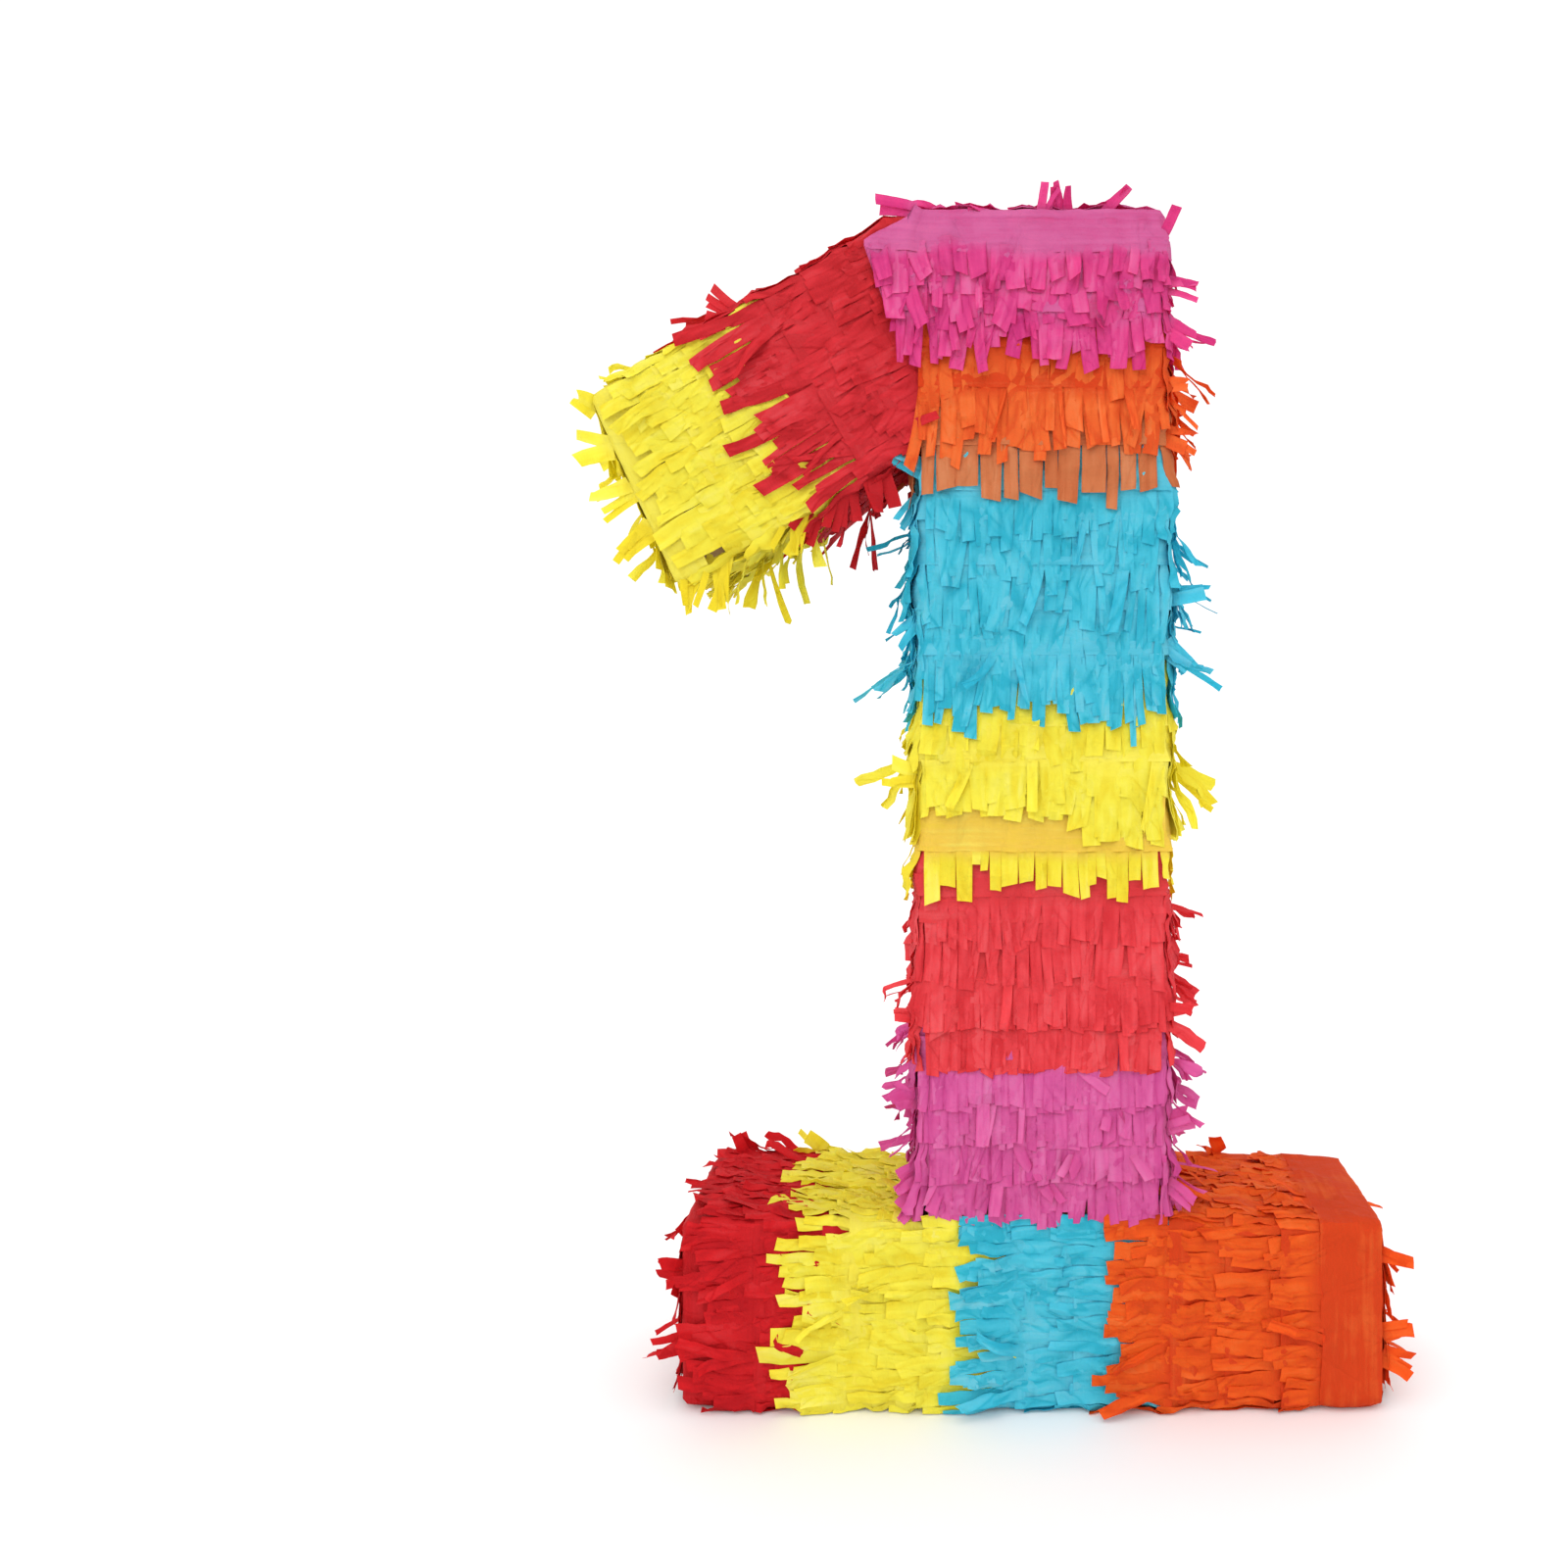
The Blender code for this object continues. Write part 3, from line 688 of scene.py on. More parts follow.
def corrugated_board(name):
    """Brown board: fibrous liners, and flutes where it is cut, with painted shade in the hollows between
    them.
    """
    finish = Finish(name)
    place = finish.node("ShaderNodeTexCoord")["Object"]
    normal = finish.node("ShaderNodeNewGeometry")["Normal"]
    facing = finish.node("ShaderNodeSeparateXYZ", {}, {0: normal})["Y"]
    cut_edge = 0.35 > finish.absolute(facing)
    axes = finish.node("ShaderNodeSeparateXYZ", {}, {0: place})
    turns = (axes["X"] + axes["Z"]) * (math.tau / 0.0065)
    wave = finish.node("ShaderNodeMath", {"operation": "SINE"}, {0: turns})["Value"]
    within = finish.absolute(axes["Y"])
    level = (within - (BACK_Y - 1.5 * MM)) * (1 / (1.5 * MM))
    from_flute = finish.absolute(level - wave * 0.62)
    beyond = finish.absolute(level)
    # painted shade: the hollows between the flutes on cut edges are painted near black
    flute_hollow_shade = cut_edge * (from_flute > 0.2) * (0.8 > beyond)
    fibres = finish.noise(finish.stretched(place, (260, 260, 1300)), 1.0, 4.0, 0.6)
    specks = finish.noise(place, 1500.0, 2.0, 0.7)
    stain = finish.noise(place, 26.0, 3.0, 0.5)
    level_of_brown = 0.5 + (fibres - 0.5) * 0.7 + (specks - 0.5) * 0.4 + (stain - 0.5) * 0.5
    kraft = finish.mix(level_of_brown, (0.25, 0.145, 0.07, 1), (0.56, 0.39, 0.235, 1))
    colour = finish.mix(flute_hollow_shade, kraft, (0.045, 0.024, 0.012, 1))
    relief = finish.bump(fibres + specks * 0.5, 0.3, 0.0003)
    board = finish.matt(colour, 0.86, 0.2, relief)
    return finish.surface(board)


def gummed_tape(name):
    """Smooth brown paper tape with a faint sheen from its gum."""
    finish = Finish(name)
    place = finish.node("ShaderNodeTexCoord")["Object"]
    grain = finish.noise(finish.stretched(place, (120, 900, 120)), 1.0, 4.0, 0.6)
    cloud = finish.noise(place, 60.0, 2.0)
    colour = finish.mix(grain * 0.6 + cloud * 0.4, (0.42, 0.30, 0.17, 1), (0.66, 0.52, 0.34, 1))
    relief = finish.bump(grain, 0.25, 0.0002)
    paper = finish.matt(colour, 0.55, 0.35, relief)
    return finish.surface(paper)


PINK = crepe_paper(
    "pink_crepe", (0.59, 0.028, 0.21), (0.79, 0.076, 0.315), (0.84, 0.20, 0.46), (0.68, 0.145, 0.39),
    (0.95, 0.08, 0.34), 0.28, 0.2,
)
PALE_PINK = crepe_paper(
    "pale_pink_crepe", (0.60, 0.060, 0.29), (0.75, 0.135, 0.41), (0.80, 0.24, 0.52), (0.69, 0.135, 0.36),
    (0.90, 0.13, 0.42), 0.3, 0.14,
)
ORANGE = crepe_paper(
    "orange_crepe", (0.74, 0.090, 0.014), (0.87, 0.172, 0.030), (0.90, 0.25, 0.070), (0.69, 0.062, 0.008),
    (1.0, 0.18, 0.02), 0.15, 0.42,
)
DEEP_ORANGE = crepe_paper(
    "deep_orange_crepe", (0.66, 0.062, 0.006), (0.86, 0.125, 0.010), (0.87, 0.19, 0.035),
    (0.68, 0.060, 0.007), (1.0, 0.13, 0.01), 0.18, 0.34,
)
TAN = crepe_paper(
    "tan_crepe", (0.56, 0.14, 0.042), (0.68, 0.22, 0.080), (0.78, 0.33, 0.15), (0.68, 0.22, 0.080),
    (0.85, 0.26, 0.09), 0.3, 0.1,
)
BLUE = crepe_paper(
    "blue_crepe", (0.018, 0.46, 0.60), (0.085, 0.62, 0.76), (0.23, 0.70, 0.81), (0.12, 0.62, 0.76),
    (0.06, 0.66, 0.86), 0.10, 0.48,
)
YELLOW = crepe_paper(
    "yellow_crepe", (0.84, 0.68, 0.024), (0.92, 0.85, 0.075), (0.95, 0.90, 0.19), (0.93, 0.84, 0.10),
    (1.0, 0.92, 0.08), 0.06, 0.30,
)
HEM_YELLOW = crepe_paper(
    "hem_yellow_crepe", (0.84, 0.66, 0.022), (0.91, 0.82, 0.055), (0.95, 0.90, 0.17), (0.88, 0.61, 0.085),
    (1.0, 0.92, 0.06), 0.15, 0.15,
)
RED = crepe_paper(
    "red_crepe", (0.66, 0.026, 0.036), (0.84, 0.068, 0.084), (0.87, 0.135, 0.15), (0.76, 0.055, 0.065),
    (0.96, 0.06, 0.06), 0.3, 0.24,
)
ARM_RED = crepe_paper(
    "arm_red_crepe", (0.50, 0.010, 0.016), (0.73, 0.031, 0.044), (0.77, 0.075, 0.090),
    (0.64, 0.028, 0.038), (0.86, 0.03, 0.035), 0.18, 0.4,
)
DEEP_RED = crepe_paper(
    "deep_red_crepe", (0.49, 0.004, 0.010), (0.69, 0.010, 0.016), (0.74, 0.034, 0.042),
    (0.61, 0.010, 0.015), (0.82, 0.012, 0.012), 0.18, 0.36,
)
BOARD = corrugated_board("corrugated_board")
TAPE = gummed_tape("gummed_tape")


# ---------------------------------------------------------------- limbs

POST = dict(tips=-UP, across=RIGHT, depth=BACK, origin=np.zeros(3), droop=0.35)
BASE = dict(tips=-RIGHT, across=UP, depth=BACK, origin=np.zeros(3), droop=0.55)
ARM = dict(tips=ARM_OUT, across=ARM_RISE, depth=BACK, origin=np.zeros(3), droop=0.55)


# Strands that have sprung out together, by the piece that they belong to: where from, which way they point,
# which way their faces look, how many, and how long, in millimetres
BUNCHES = {
    "top_fringe": (
        ((-53, -43, 541), (-1, 0, 0.12), (0, -1, 0.3), 2, 17),
        ((5, -40, 540), (0.25, 0, 1), (0.2, -1, 0), 2, 13),
        ((14, -36, 540), (-0.35, 0, 1), (0.2, -1, 0), 3, 15),
        ((30, -38, 540), (0.9, 0, 0.75), (0, -1, 0.2), 2, 15),
        ((-20, -41, 540), (-1, 0, 0.35), (0, -1, 0.2), 1, 11),
    ),
    "post_pink_high_1": (
        ((58, -42, 528), (0.8, 0, 0.75), (0, -1, 0), 1, 14),
        ((59, -40, 508), (1, 0, -0.05), (0, -1, 0.3), 3, 15),
    ),
    "post_pink_high_2": (((59, -40, 490), (0.9, 0, -0.75), (0.1, -1, 0), 3, 16),),
    "post_orange_1": (((59, -42, 462), (0.9, 0, 0.2), (0, -1, 0.2), 2, 12),),
    "post_orange_2": (((59, -42, 440), (0.8, 0, -0.5), (0, -1, 0.2), 3, 13),),
    "post_blue_1": (
        ((-50, -40, 424), (-1, -0.1, 0.45), (0.1, -1, 0.2), 3, 14),
        ((-51, -36, 410), (-0.8, 0, -0.8), (-0.1, -1, 0), 3, 15),
    ),
    "post_blue_3": (
        ((60, -40, 367), (1, -0.1, 0.1), (0, -1, 0.2), 3, 17),
        ((-51, -41, 356), (-1, 0, -0.45), (0, -1, 0.1), 2, 16),
    ),
    "post_blue_4": (((60, -40, 345), (0.8, 0, -0.7), (0, -1, 0.1), 3, 14),),
    "post_yellow_2": (((-52, -41, 285), (-1, 0, 0.1), (0, -1, 0.1), 3, 14),),
    "post_red_3": (
        ((60, -41, 180), (1, 0, 0.15), (0, -1, 0.1), 2, 13),
        ((-52, -41, 177), (-1, 0, 0.05), (0, -1, 0.1), 2, 13),
    ),
    "post_pink_low_1": (
        ((-52, -41, 140), (-0.9, 0, 0.3), (0, -1, 0.1), 3, 13),
        ((18, -46, 158), (0.5, -0.2, -1), (0, -1, 0.2), 1, 18),
    ),
    "post_pink_low_2": (
        ((34, -46, 139), (0.6, -0.2, -0.9), (0, -1, 0.2), 2, 12),
        ((60, -41, 128), (0.9, 0, 0.35), (0, -1, 0.1), 3, 13),
    ),
    "post_pink_low_3": (
        ((-52, -41, 107), (-1, -0.1, -0.35), (0.1, -1, 0.1), 3, 15),
        ((-30, -46, 120), (-0.35, -0.2, -1), (0, -1, 0.2), 2, 17),
        ((-6, -46, 122), (0.2, -0.25, -1), (0.1, -1, 0.2), 2, 19),
        ((22, -46, 121), (-0.3, -0.25, -1), (-0.2, -1, 0.2), 2, 18),
        ((46, -46, 118), (0.7, -0.2, -0.8), (0, -1, 0.2), 2, 15),
    ),
    "post_pink_low_4": (
        ((-53, -42, 96), (-0.8, -0.1, -0.6), (0.1, -1, 0.1), 3, 14),
        ((-42, -46, 104), (-0.5, -0.2, -0.9), (0, -1, 0.2), 2, 15),
        ((4, -46, 105), (0.5, -0.2, -0.9), (0, -1, 0.2), 2, 13),
        ((60, -41, 100), (0.8, 0, -0.5), (0, -1, 0.1), 3, 13),
    ),
    "arm_red_3": (
        ((-56, -46, 443), (1, -0.05, 0.5), (0.1, -1, 0), 1, 17),
        ((-72, -40, 426), (0.25, 0, -1), (0, -1, 0), 4, 23),
    ),
    "arm_red_2": (
        ((-84, -41, 419), (-0.05, 0, -1), (0.1, -1, 0), 4, 23),
        ((-96, -41, 412), (-0.5, 0, -1), (0.1, -1, 0), 3, 18),
    ),
    "arm_red_1": (((-133, -40, 492), (-0.75, 0, 0.35), (0, -1, 0.2), 4, 17),),
    "arm_yellow_4": (((-104, -41, 407), (-0.15, 0, -1), (0, -1, 0), 4, 21),),
    "arm_yellow_2": (((-141, -41, 386), (0.05, 0, -1), (0, -1, 0.1), 4, 24),),
    "arm_yellow_1": (((-154, -41, 379), (-0.25, 0, -1), (0, -1, 0.1), 3, 17),),
    "arm_end_fringe": (
        ((-198, -38, 452), (-0.8, 0, 0.5), (0, -1, 0.1), 3, 12),
        ((-190, -41, 434), (-1, 0, -0.05), (0, -1, 0.1), 3, 15),
        ((-181, -41, 415), (-0.9, 0, -0.6), (0, -1, 0.1), 4, 19),
        ((-172, -41, 398), (-0.8, 0, -0.8), (0, -1, 0.1), 4, 20),
    ),
    "base_red_1": (
        ((-150, -42, 6), (-0.5, -0.8, -0.3), (0.1, -0.5, 1), 2, 10),
        ((-140, 40, 87), (-0.5, 0, 0.9), (0.2, -1, 0.2), 3, 12),
    ),
    "base_yellow_1": (
        ((-104, 40, 88), (-0.7, 0, 0.7), (0.2, -1, 0.2), 3, 12),
        ((-85, -43, 6), (-0.4, -0.8, -0.3), (0.1, -0.5, 1), 3, 11),
    ),
    "base_blue_2": (((-5, -43, 6), (-0.5, -0.8, -0.3), (0.1, -0.5, 1), 3, 10),),
    "base_orange_2": (
        ((75, -43, 6), (-0.5, -0.8, -0.3), (0.1, -0.5, 1), 3, 13),
        ((96, 40, 87), (-0.6, 0, 0.7), (0.2, -1, 0.2), 3, 13),
    ),
    "base_right_fringe": (
        ((158, -41, 70), (1, 0, -0.1), (0, -1, 0.1), 2, 12),
        ((158, -41, 34), (0.9, 0, 0.35), (0, -1, 0.1), 3, 13),
        ((158, -41, 24), (0.9, 0, -0.4), (0, -1, 0.1), 3, 12),
    ),
    "base_left_fringe": (
        ((-158, -41, 62), (-0.9, 0, 0.4), (0, -1, 0.1), 3, 11),
        ((-158, -41, 30), (-0.8, 0, -0.4), (0, -1, 0.1), 3, 12),
    ),
}


def finished(heap, node, finish, body="shell"):
    """Makes a heap the piece that stands for a node, with the tufts that belong to it."""
    for index, (root, tips, looks, many, reach) in enumerate(BUNCHES.get(node, ())):
        # tufts that hang down under the arm get painted shade
        manner = SHADED if node.startswith("arm") and tips[2] < -0.7 else SPRUNG
        seed = 900 + 10 * len(node) + index
        lay_tuft(heap, seed, np.array(root) * MM, tips, looks, many, reach * MM, manner)
    piece = heap.piece(node + "_paper", finish)
    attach(piece, body)
    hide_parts(node)


def rows_of(block):
    """The nodes of a colour block, in order."""
    found = [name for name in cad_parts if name.rsplit("_", 1)[0] == block]
    return sorted(found, key=lambda name: int(name.rsplit("_", 1)[1]))


def by_side(front, high, low=None):
    return {FRONT_SIDE: front, BACK_SIDE: front, HIGH_SIDE: high, LOW_SIDE: low or high}


def none_sprung(manners):
    """The same manners for a row that the next colour's strands cover, in which nothing has sprung out."""
    return {side: dict(manner, wild=0) for side, manner in manners.items()}


def post_path(left, closed):
    """Round the post: all the way where it is closed, else from the arm's front to the arm's back."""
    if closed:
        return wrap_round(POST, left, POST_BOARD_RIGHT)
    corners = [(left, FRONT_Y), (POST_BOARD_RIGHT, FRONT_Y), (POST_BOARD_RIGHT, BACK_Y), (left, BACK_Y)]
    return wrap(POST, corners, [FRONT_SIDE, HIGH_SIDE, BACK_SIDE])


def wrap_round(limb, low, high):
    """All the way round a limb, from the middle of its back."""
    middle = (low + high) / 2
    corners = [(middle, BACK_Y), (low, BACK_Y), (low, FRONT_Y)]
    corners += [(high, FRONT_Y), (high, BACK_Y), (middle, BACK_Y)]
    return wrap(limb, corners, [BACK_SIDE, LOW_SIDE, FRONT_SIDE, HIGH_SIDE, BACK_SIDE])


# The post's blocks: node names, finish, slot, how the front lies, strand width and raggedness
POST_BLOCKS = (
    ("post_pink_high", PINK, "paper_pink", MESSY, 6.5 * MM, 1.8 * MM),
    ("post_orange", ORANGE, "paper_orange", PRESSED, 6.0 * MM, 3.0 * MM),
    ("post_tan", TAN, "paper_tan", NEAT, 9.0 * MM, 2.2 * MM),
    ("post_blue", BLUE, "paper_blue", PRESSED, 5.0 * MM, 3.2 * MM),
    ("post_yellow", YELLOW, "paper_yellow", PRESSED, 7.5 * MM, 3.2 * MM),
    ("post_yellow_hem", HEM_YELLOW, "paper_yellow", NEAT, 5.5 * MM, 3.4 * MM),
    ("post_red", RED, "paper_red", NEAT, 5.2 * MM, 0.7 * MM),
    ("post_pink_low", PALE_PINK, "paper_pink", NEAT, 5.0 * MM, 1.0 * MM),
)
PINK_LEFT = (-77 * MM, 527 * MM)     # the point of the pink paper that is glued over the arm
PINK_FOOT = (-57 * MM, 470 * MM)


def dress_post():
    """The wrapped rows of the post, from the top down."""
    seed = 100
    for block, finish, slot, front, width, ragged in POST_BLOCKS:
        for node in rows_of(block):
            seed += 1
            tips_at, top_at = span(node, UP)
            below_arm = top_at - HEADER < ARMPIT
            over_arm = block == "post_pink_high"
            left = POST_BOARD_LEFT if below_arm else PINK_LEFT[0] if over_arm else POST_LEFT
            path = post_path(left, below_arm)
            x, side = path.places[:, 0], path.side
            highest = np.where(x < CROWN_X, BOARD_TOP + (x - CROWN_X) * math.tan(ARM_SLOPE), BOARD_TOP)
            highest = np.where(side == LOW_SIDE, np.minimum(highest, ARMPIT - 2 * MM), highest)
            lowest = np.full(len(x), -NO_LIMIT)
            if over_arm:
                slant = (PINK_LEFT[1] - PINK_FOOT[1]) / (PINK_FOOT[0] - PINK_LEFT[0])
                lowest = np.where(x < PINK_FOOT[0], PINK_FOOT[1] + (PINK_FOOT[0] - x) * slant, lowest)
            tips = np.full(len(x), tips_at)
            rise = np.clip((POST_LEFT + 2 * MM - x) / (6 * MM), 0, 1) * (3.8 * MM if not below_arm else 0.0)
            behind = (side == BACK_SIDE) & (x > FLAP_LEFT - FLAP_CLEAR) & (x < FLAP_RIGHT + FLAP_GAP)
            if top_at - HEADER > FLAP_HIGH + FLAP_GAP:
                lowest = np.where(behind, np.maximum(lowest, FLAP_HIGH + FLAP_GAP), lowest)
            elif top_at + LONG_UNDERLAP > FLAP_LOW:
                highest = np.where(behind, FLAP_LOW - FLAP_GAP, highest)
            plies, cover, wander, facing = 2, 1.06, 0.0, front
            if node in ("post_red_1", "post_red_2"):
                facing, ragged = dict(PRESSED, tone=0.5), 1.8 * MM
            elif block == "post_red":
                ragged = 0.7 * MM
            header = PRESSED_HEADER if facing["plies"] == 1 else HEADER
            if node == "post_pink_low_4":
                facing = RUFFLED
            if node == "post_yellow_3":
                rise = rise + 0.5 * MM
                facing, ragged = dict(PRESSED, off=0.7, plies=2, stagger=3), 1.3 * MM
            elif node == rows_of(block)[-1] and front is not NEAT:
                rise = rise + 0.5 * MM
                ragged, cover = 4.0 * MM, 0.95
                facing = MESSY if front is MESSY else dict(LOOSE, sway=4, wild=0.05)
            if node == "post_pink_high_1":
                top_at = BOARD_TOP
                header, wander = 17 * MM, 7 * MM
            elif node == "post_tan_1":
                plies, cover = 1, 0.93
                rise = rise + 0.6 * MM
            elif node == "post_yellow_3":
                tips = np.where((side == FRONT_SIDE) & (x < 22 * MM), tips + 5 * MM, tips - 9 * MM)
            elif node == "post_yellow_hem_1":
                header, plies, cover = 19 * MM, 1, 1.0
                rise = rise + 0.9 * MM
            elif node == "post_pink_low_4":
                tips = tips - 1.5 * MM
            fold = BOARD_TOP if node == "post_pink_high_1" else None
            manner = by_side(facing, SPLAYED)
            if node in ("post_blue_1", "post_yellow_1", "post_red_1"):
                manner, header = none_sprung(manner), HEADER
            heap = Heap()
            lay_strip(
                heap, seed, path, POST, tips, top_at, manner, width, ragged,
                lowest, highest, rise, header, plies, cover, fold, wander=wander,
            )
            if node == "post_blue_3":
                line_flap_opening(heap)
            finished(heap, node, finish)


def line_flap_opening(heap):
    """Plain paper round the opening, where no strands may lie."""
    gap, wide = 0.4 * MM, 9 * MM
    left, right, low, high = FLAP_LEFT - gap, FLAP_RIGHT + gap, FLAP_LOW - gap, FLAP_HIGH + gap
    lay_lining(heap, 791, left - wide, left, low - wide, high + wide)
    lay_lining(heap, 792, right, right + wide, low - wide, high + wide)
    lay_lining(heap, 793, left, right, low - wide, low)
    lay_lining(heap, 794, left, right, high, high + wide)


BASE_BLOCKS = (
    ("base_red", DEEP_RED, "paper_deep_red"),
    ("base_yellow", YELLOW, "paper_yellow"),
    ("base_blue", BLUE, "paper_blue"),
    ("base_orange", DEEP_ORANGE, "paper_orange"),
)
TUCK = 6 * MM


def dress_base():
    """The rows wrapped over the base, turned in a little underneath."""
    low = GLUE_LINE + 2.0 * MM
    corners = [
        (low, FRONT_Y + TUCK),
        (low, FRONT_Y),
        (BASE_HIGH, FRONT_Y),
        (BASE_HIGH, BACK_Y),
        (low, BACK_Y),
        (low, BACK_Y - TUCK),
    ]
    path = wrap(BASE, corners, [LOW_SIDE, FRONT_SIDE, HIGH_SIDE, BACK_SIDE, LOW_SIDE])
    over = path.side == HIGH_SIDE
    post_foot = [
        wrap(BASE, [(BASE_HIGH - 3 * MM, FRONT_Y), (BASE_HIGH + 7 * MM, FRONT_Y)], [FRONT_SIDE]),
        wrap(BASE, [(BASE_HIGH + 7 * MM, BACK_Y), (BASE_HIGH - 3 * MM, BACK_Y)], [BACK_SIDE]),
    ]
    seed = 300
    for block, finish, slot in BASE_BLOCKS:
        for node in rows_of(block):
            seed += 1
            tips_at, top_at = span(node, RIGHT)
            if tips_at < POST_LEFT:
                lowest = np.full(len(over), -NO_LIMIT)
                highest = np.where(over, POST_LEFT, BASE_RIGHT)
            else:
                lowest = np.where(over, POST_RIGHT + 0.5 * MM, -NO_LIMIT)
                highest = np.full(len(over), BASE_RIGHT)
            last = node == "base_orange_4"
            first = node.endswith("_1")
            ragged = 4.5 * MM if first else 3.0 * MM
            front = dict(LOOSE, sway=5) if first else dict(PRESSED, wild=0.07)
            rise = np.full(len(over), 0.5 * MM if first else 0.0)
            header = top_at - tips_at - 22 * MM if last else PRESSED_HEADER
            manner = by_side(front, COMBED, TUCKED)
            if node in ("base_red_3", "base_yellow_4", "base_blue_3"):
                manner = none_sprung(manner)
            heap = Heap()
            lay_strip(
                heap, seed, path, BASE, tips_at, top_at, manner, 5.5 * MM, ragged, lowest, highest, rise,
                header=header, fold=BASE_RIGHT if last else None,
            )
            if node == "base_red_1":
                lay_border(heap, 390, path, BASE, np.zeros(len(over)) - BASE_LEFT)
            if top_at > POST_LEFT and tips_at < POST_RIGHT:
                for foot in post_foot:
                    low = np.full(len(foot.side), POST_LEFT)
                    high = np.full(len(foot.side), POST_RIGHT)
                    tucked = {FRONT_SIDE: TUCKED, BACK_SIDE: TUCKED}
                    lay_strip(
                        heap, seed + 50, foot, BASE, tips_at, top_at, tucked, 5 * MM, 0.5 * MM, low, high,
                    )
            finished(heap, node, finish)


def arm_end_corners():
    """The high and the low corner of the arm's end, on the board."""
    beyond_post = (board_corners[:, 0] < POST_LEFT - 40 * MM) & (board_corners[:, 2] > BASE_HIGH + 40 * MM)
    found = board_corners[beyond_post] * np.array((1.0, 0.0, 1.0))
    return found[np.argmax(found[:, 2])], found[np.argmin(found[:, 2])]


def dress_arm():
    """The rows wrapped round the arm, cut off where it joins the post."""
    blocks = (("arm_yellow", YELLOW, "paper_yellow"), ("arm_red", ARM_RED, "paper_red"))
    low, high = span("arm_yellow_2", ARM_RISE)
    low, high = low + BUILD_UP, high - BUILD_UP
    path = wrap_round(ARM, low, high)
    across = path.places @ ARM_RISE
    end_high, end_low = arm_end_corners()
    out_high, out_low = end_high @ ARM_OUT, end_low @ ARM_OUT
    up_arm = (across - across.min()) / (across.max() - across.min())
    end = out_low + (out_high - out_low) * up_arm
    seed = 500
    for block, finish, slot in blocks:
        for node in rows_of(block):
            seed += 1
            tips_at = span(node, -ARM_OUT)[0]
            top_at = tips_at + 35 * MM
            faces = (path.side == FRONT_SIDE) | (path.side == BACK_SIDE)
            limit = np.where(faces, POST_LEFT + 3 * MM - 9 * MM * up_arm, CROWN_X + 1.5 * MM)
            highest = (limit - path.places[:, 0]) / math.cos(ARM_SLOPE)
            ragged, width, cover, front = 3.0 * MM, 6.0 * MM, 1.06, PRESSED
            rise = np.full(len(path.side), 0.6 * MM if node == "arm_red_1" else 0.0)
            heap = Heap()
            tips = tips_at
            if node == "arm_red_1":
                tips, ragged, cover = tips_at - 7 * MM, 5.5 * MM, 0.85
                front = LOOSE
            if node == "arm_yellow_1":
                tips = 2.5 * MM - end
                lay_border(heap, 590, path, ARM, end)
            manner = by_side(front, COMBED, SPLAYED)
            if node in ("arm_yellow_4", "arm_red_4"):
                manner = none_sprung(manner)
            lay_strip(
                heap, seed, path, ARM, tips, top_at, manner, width,
                ragged, highest=highest, rise=rise, cover=cover, header=PRESSED_HEADER,
            )
            finished(heap, node, finish)


def flat_path(limb, half):
    """A straight path across a face, from the front edge to the back edge."""
    count = 40
    share = np.linspace(-half, half, count)
    places = limb["origin"] + share[:, None] * limb["across"] + GLUE_LINE * limb["depth"]
    outward = np.broadcast_to(limb["depth"], (count, 3))
    onward = np.broadcast_to(limb["across"], (count, 3))
    return Path(places, outward.copy(), onward.copy(), np.full(count, FRONT_SIDE))


def lay_plain(heap, seed, path, limb, low, high):
    """Plain paper glued straight on a face."""
    level = np.zeros(len(path.places))
    draw = np.random.default_rng(seed)
    lay_header(heap, draw, path, limb, level + low, level + high, level, level, level + NO_LIMIT)


def lay_lining(heap, seed, left, right, low, high):
    """Plain paper glued straight on the back board between two sides and two heights."""
    origin = np.array(((left + right) / 2, BACK_Y - GLUE_LINE + LINING_LIFT, 0))
    limb = dict(tips=-UP, across=-RIGHT, depth=BACK, origin=origin)
    path = flat_path(limb, (right - left) / 2)
    lay_plain(heap, seed, path, limb, low, high)


def dress_face(node, finish, seed, limb, tips_list, strand, manner, highest, body="shell", half=None,
               heap=None):
    """Strips laid flat on a face that no wrapped row reaches."""
    heap = heap or Heap()
    path = flat_path(limb, half or (BACK_Y - 0.5 * MM))
    level = np.zeros(len(path.places))
    for index, tips_at in enumerate(tips_list):
        top_at = min(tips_at + strand + HEADER, highest)
        lay_strip(
            heap, seed + index, path, limb, tips_at, top_at, {FRONT_SIDE: manner}, 6.5 * MM, 1.8 * MM,
            highest=level + highest, rise=level + 0.5 * MM, header=top_at - tips_at - strand,
            underlap=10 * MM,
        )
    finished(heap, node, finish, body)


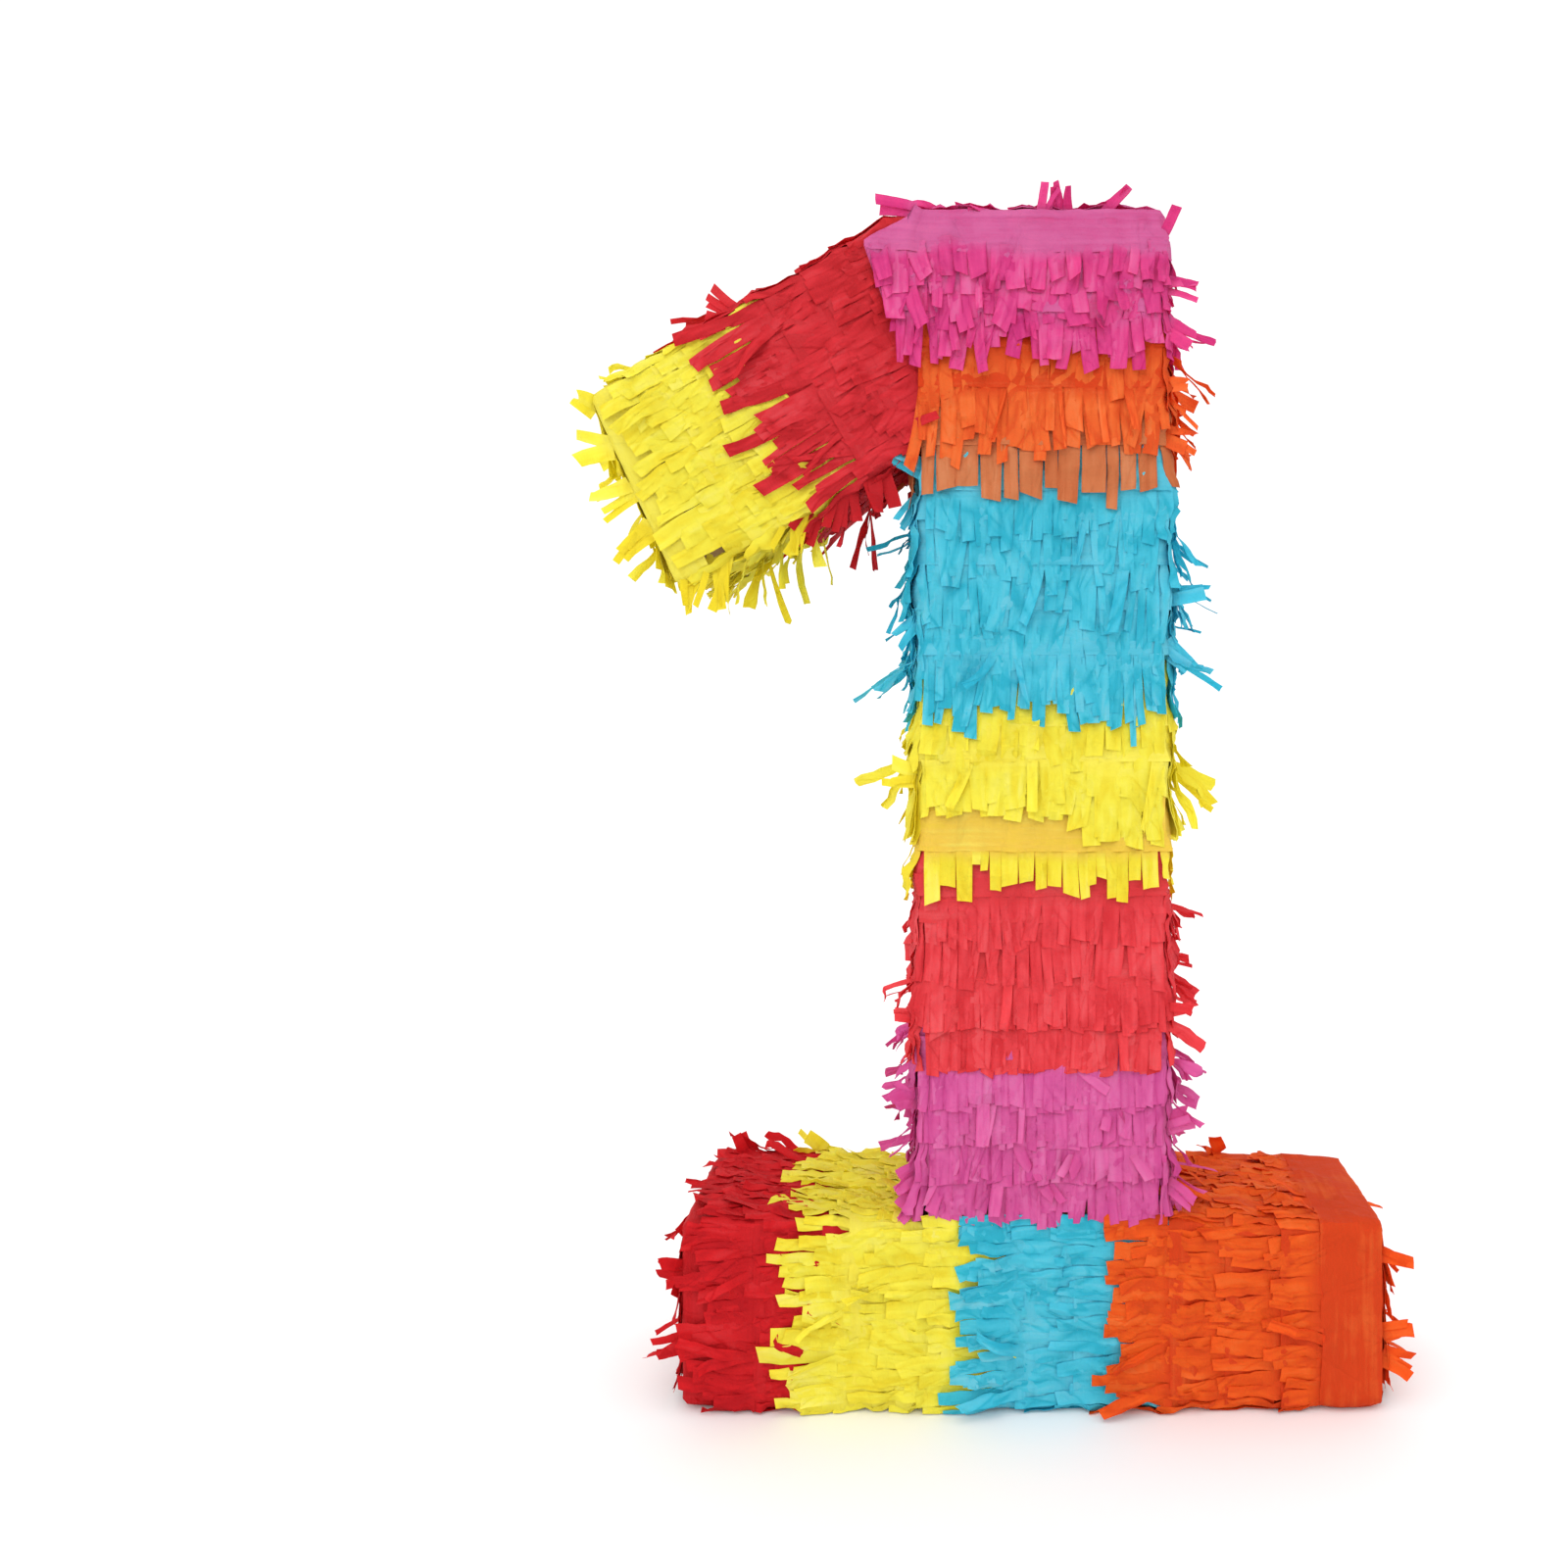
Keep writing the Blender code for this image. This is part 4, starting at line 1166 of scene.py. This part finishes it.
def dress_faces():
    """The strips on the post's top, on the base's two ends and on the arm's end."""
    top = dict(tips=-RIGHT, across=BACK, depth=UP, origin=np.array((0, 0, BOARD_TOP)), droop=0.3)
    top_tips = np.linspace(CROWN_X - 2 * MM, POST_BOARD_RIGHT - 42 * MM, 4)
    heap = Heap()
    under = dict(top, origin=top["origin"] - (GLUE_LINE - LINING_LIFT) * UP)
    lay_plain(heap, 710, flat_path(under, BACK_Y - 2 * MM), under, CROWN_X, CROWN_X + 30 * MM)
    dress_face(
        "top_fringe", PINK, 700, top, top_tips, 22 * MM, PRESSED, POST_BOARD_RIGHT, heap=heap,
    )
    flatter = dict(SPLAYED, crumple=0.3)
    left = dict(tips=-UP, across=-BACK, depth=-RIGHT, origin=np.array((BASE_LEFT, 0, 0)), droop=0.3)
    right = dict(tips=-UP, across=BACK, depth=RIGHT, origin=np.array((BASE_RIGHT, 0, 0)), droop=0.3)
    end_high, end_low = arm_end_corners()
    rise = end_high - end_low
    length = np.linalg.norm(rise)
    rise = rise / length
    origin = np.array((end_low[0], 0, end_low[2]))
    end = dict(tips=-rise, across=-BACK, depth=np.array((-rise[2], 0, rise[0])), origin=origin, droop=0.3)
    base_tips = np.linspace(BASE_LOW + 1 * MM, BASE_HIGH - 32 * MM, 4)
    arm_tips = np.linspace(0, length - 30 * MM, 4)
    ends = (
        ("base_left_fringe", DEEP_RED, "paper_deep_red", 720, left, base_tips, BASE_HIGH),
        ("base_right_fringe", DEEP_ORANGE, "paper_orange", 740, right, base_tips, BASE_HIGH),
        ("arm_end_fringe", YELLOW, "paper_yellow", 760, end, arm_tips, length),
    )
    for node, finish, slot, seed, limb, tips, highest in ends:
        dress_face(node, finish, seed, limb, tips, 20 * MM, flatter, highest)


def dress_flap():
    """The flap's own strips, which keep clear of its fold."""
    middle = (FLAP_LEFT + FLAP_RIGHT) / 2
    past_fold = (FLAP_CLEAR - 0.5 * MM) / 2
    origin = np.array((middle + past_fold, BACK_Y, 0))
    limb = dict(tips=-UP, across=-RIGHT, depth=BACK, origin=origin, droop=0.3)
    tips = [span(row, UP)[0] for row in ("post_blue_4", "post_blue_3", "post_blue_2")]
    tips[0] += 1.5 * MM
    half = (FLAP_RIGHT - FLAP_LEFT) / 2 - past_fold - 0.5 * MM
    heap = Heap()
    rim = 0.3 * MM
    lay_lining(heap, 790, FLAP_LEFT + rim, FLAP_RIGHT - rim, FLAP_LOW + rim, FLAP_HIGH - rim)
    flat = dict(NEAT, wild=0, crumple=0.2)
    dress_face(
        "flap_fringe", BLUE, 780, limb, tips, 13 * MM, flat, FLAP_HIGH, "flap", half, heap,
    )


def close_underside():
    """The sheet that closes the base, a little puckered where it is glued."""
    low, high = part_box("underside_paper")
    width, depth = high.x - low.x - 9 * MM, high.y - low.y - 9 * MM
    corners, faces = sheet_cells(80, 22)
    x, y = corners[:, 0] * width, (corners[:, 1] - 0.5) * depth
    draw = np.random.default_rng(800)
    pucker = np.abs(ripple(draw, 8, x, y, 30 * MM, 0.22 * MM))
    level = 0.45 * MM + np.minimum(pucker, 0.6 * MM) + (corners[:, 2] + 0.5) * SHEET
    place = np.stack((x + (low.x + high.x) / 2, y + (low.y + high.y) / 2, level), axis=-1)
    tone = 0.5 + ripple(draw, 4, x, y, 80 * MM, 0.12)
    heap = Heap()
    heap.add(place, faces, np.stack((x, y), axis=-1), tone, np.zeros(len(x)), np.zeros(len(x)), False)
    finished(heap, "underside_paper", DEEP_RED)


def repaint(nodes, finish):
    """Gives nodes that stay as they are a better finish."""
    for node in nodes:
        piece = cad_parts[node]
        for holder in piece.material_slots:
            holder.material = finish


dress_post()
dress_base()
dress_arm()
dress_faces()
dress_flap()
boards = ("front_panel", "back_panel", "bottom_band", "right_band", "left_band", "hanger_plate", "fill_flap")
repaint(boards, BOARD)
repaint(("front_seam_tape", "back_seam_tape"), TAPE)
close_underside()


# ---------------------------------------------------------------- studio

def pale_floor():
    start_fresh()
    bpy.ops.mesh.primitive_plane_add(size=30, location=(0, 0, -0.0002))
    floor = bpy.context.object
    floor.name = "pale_floor"
    finish = Finish("floor_paint")
    sockets = {"Base Color": (0.93, 0.93, 0.93, 1), "Roughness": 0.9}
    paint = finish.node("ShaderNodeBsdfPrincipled", {}, sockets)["BSDF"]
    floor.data.materials.append(finish.surface(paint))


def soft_sun(name, heading, spread, strength):
    """A broad even light from far away, which makes soft shadows."""
    lamp = bpy.data.lights.new(name, "SUN")
    lamp.angle = math.radians(spread)
    lamp.energy = strength
    made = bpy.data.objects.new(name, lamp)
    made.rotation_euler = Vector(heading).to_track_quat("-Z", "Y").to_euler()
    bpy.context.scene.collection.objects.link(made)


def white_room():
    world = bpy.data.worlds.new("white_room")
    bpy.context.scene.world = world
    world.use_nodes = True
    background = world.node_tree.nodes["Background"]
    background.inputs["Color"].default_value = (1, 1, 1, 1)
    background.inputs["Strength"].default_value = 1.12


def camera():
    lens = bpy.data.cameras.new("camera")
    lens.lens = 34.5
    lens.sensor_width = 36
    frame_width = 704 * MM
    distance = frame_width * lens.lens / lens.sensor_width
    made = bpy.data.objects.new("camera", lens)
    made.location = (-23.8 * MM, PAPER_Y - distance, 350 * MM)
    made.rotation_euler = (math.radians(90), 0, 0)
    lens.shift_x = -0.125
    lens.shift_y = -0.096
    bpy.context.scene.collection.objects.link(made)
    bpy.context.scene.camera = made


pale_floor()
white_room()
soft_sun("front_light", (0.25, 1.0, -0.8), 50, 0.95)
camera()
bpy.context.scene.view_settings.view_transform = "Standard"
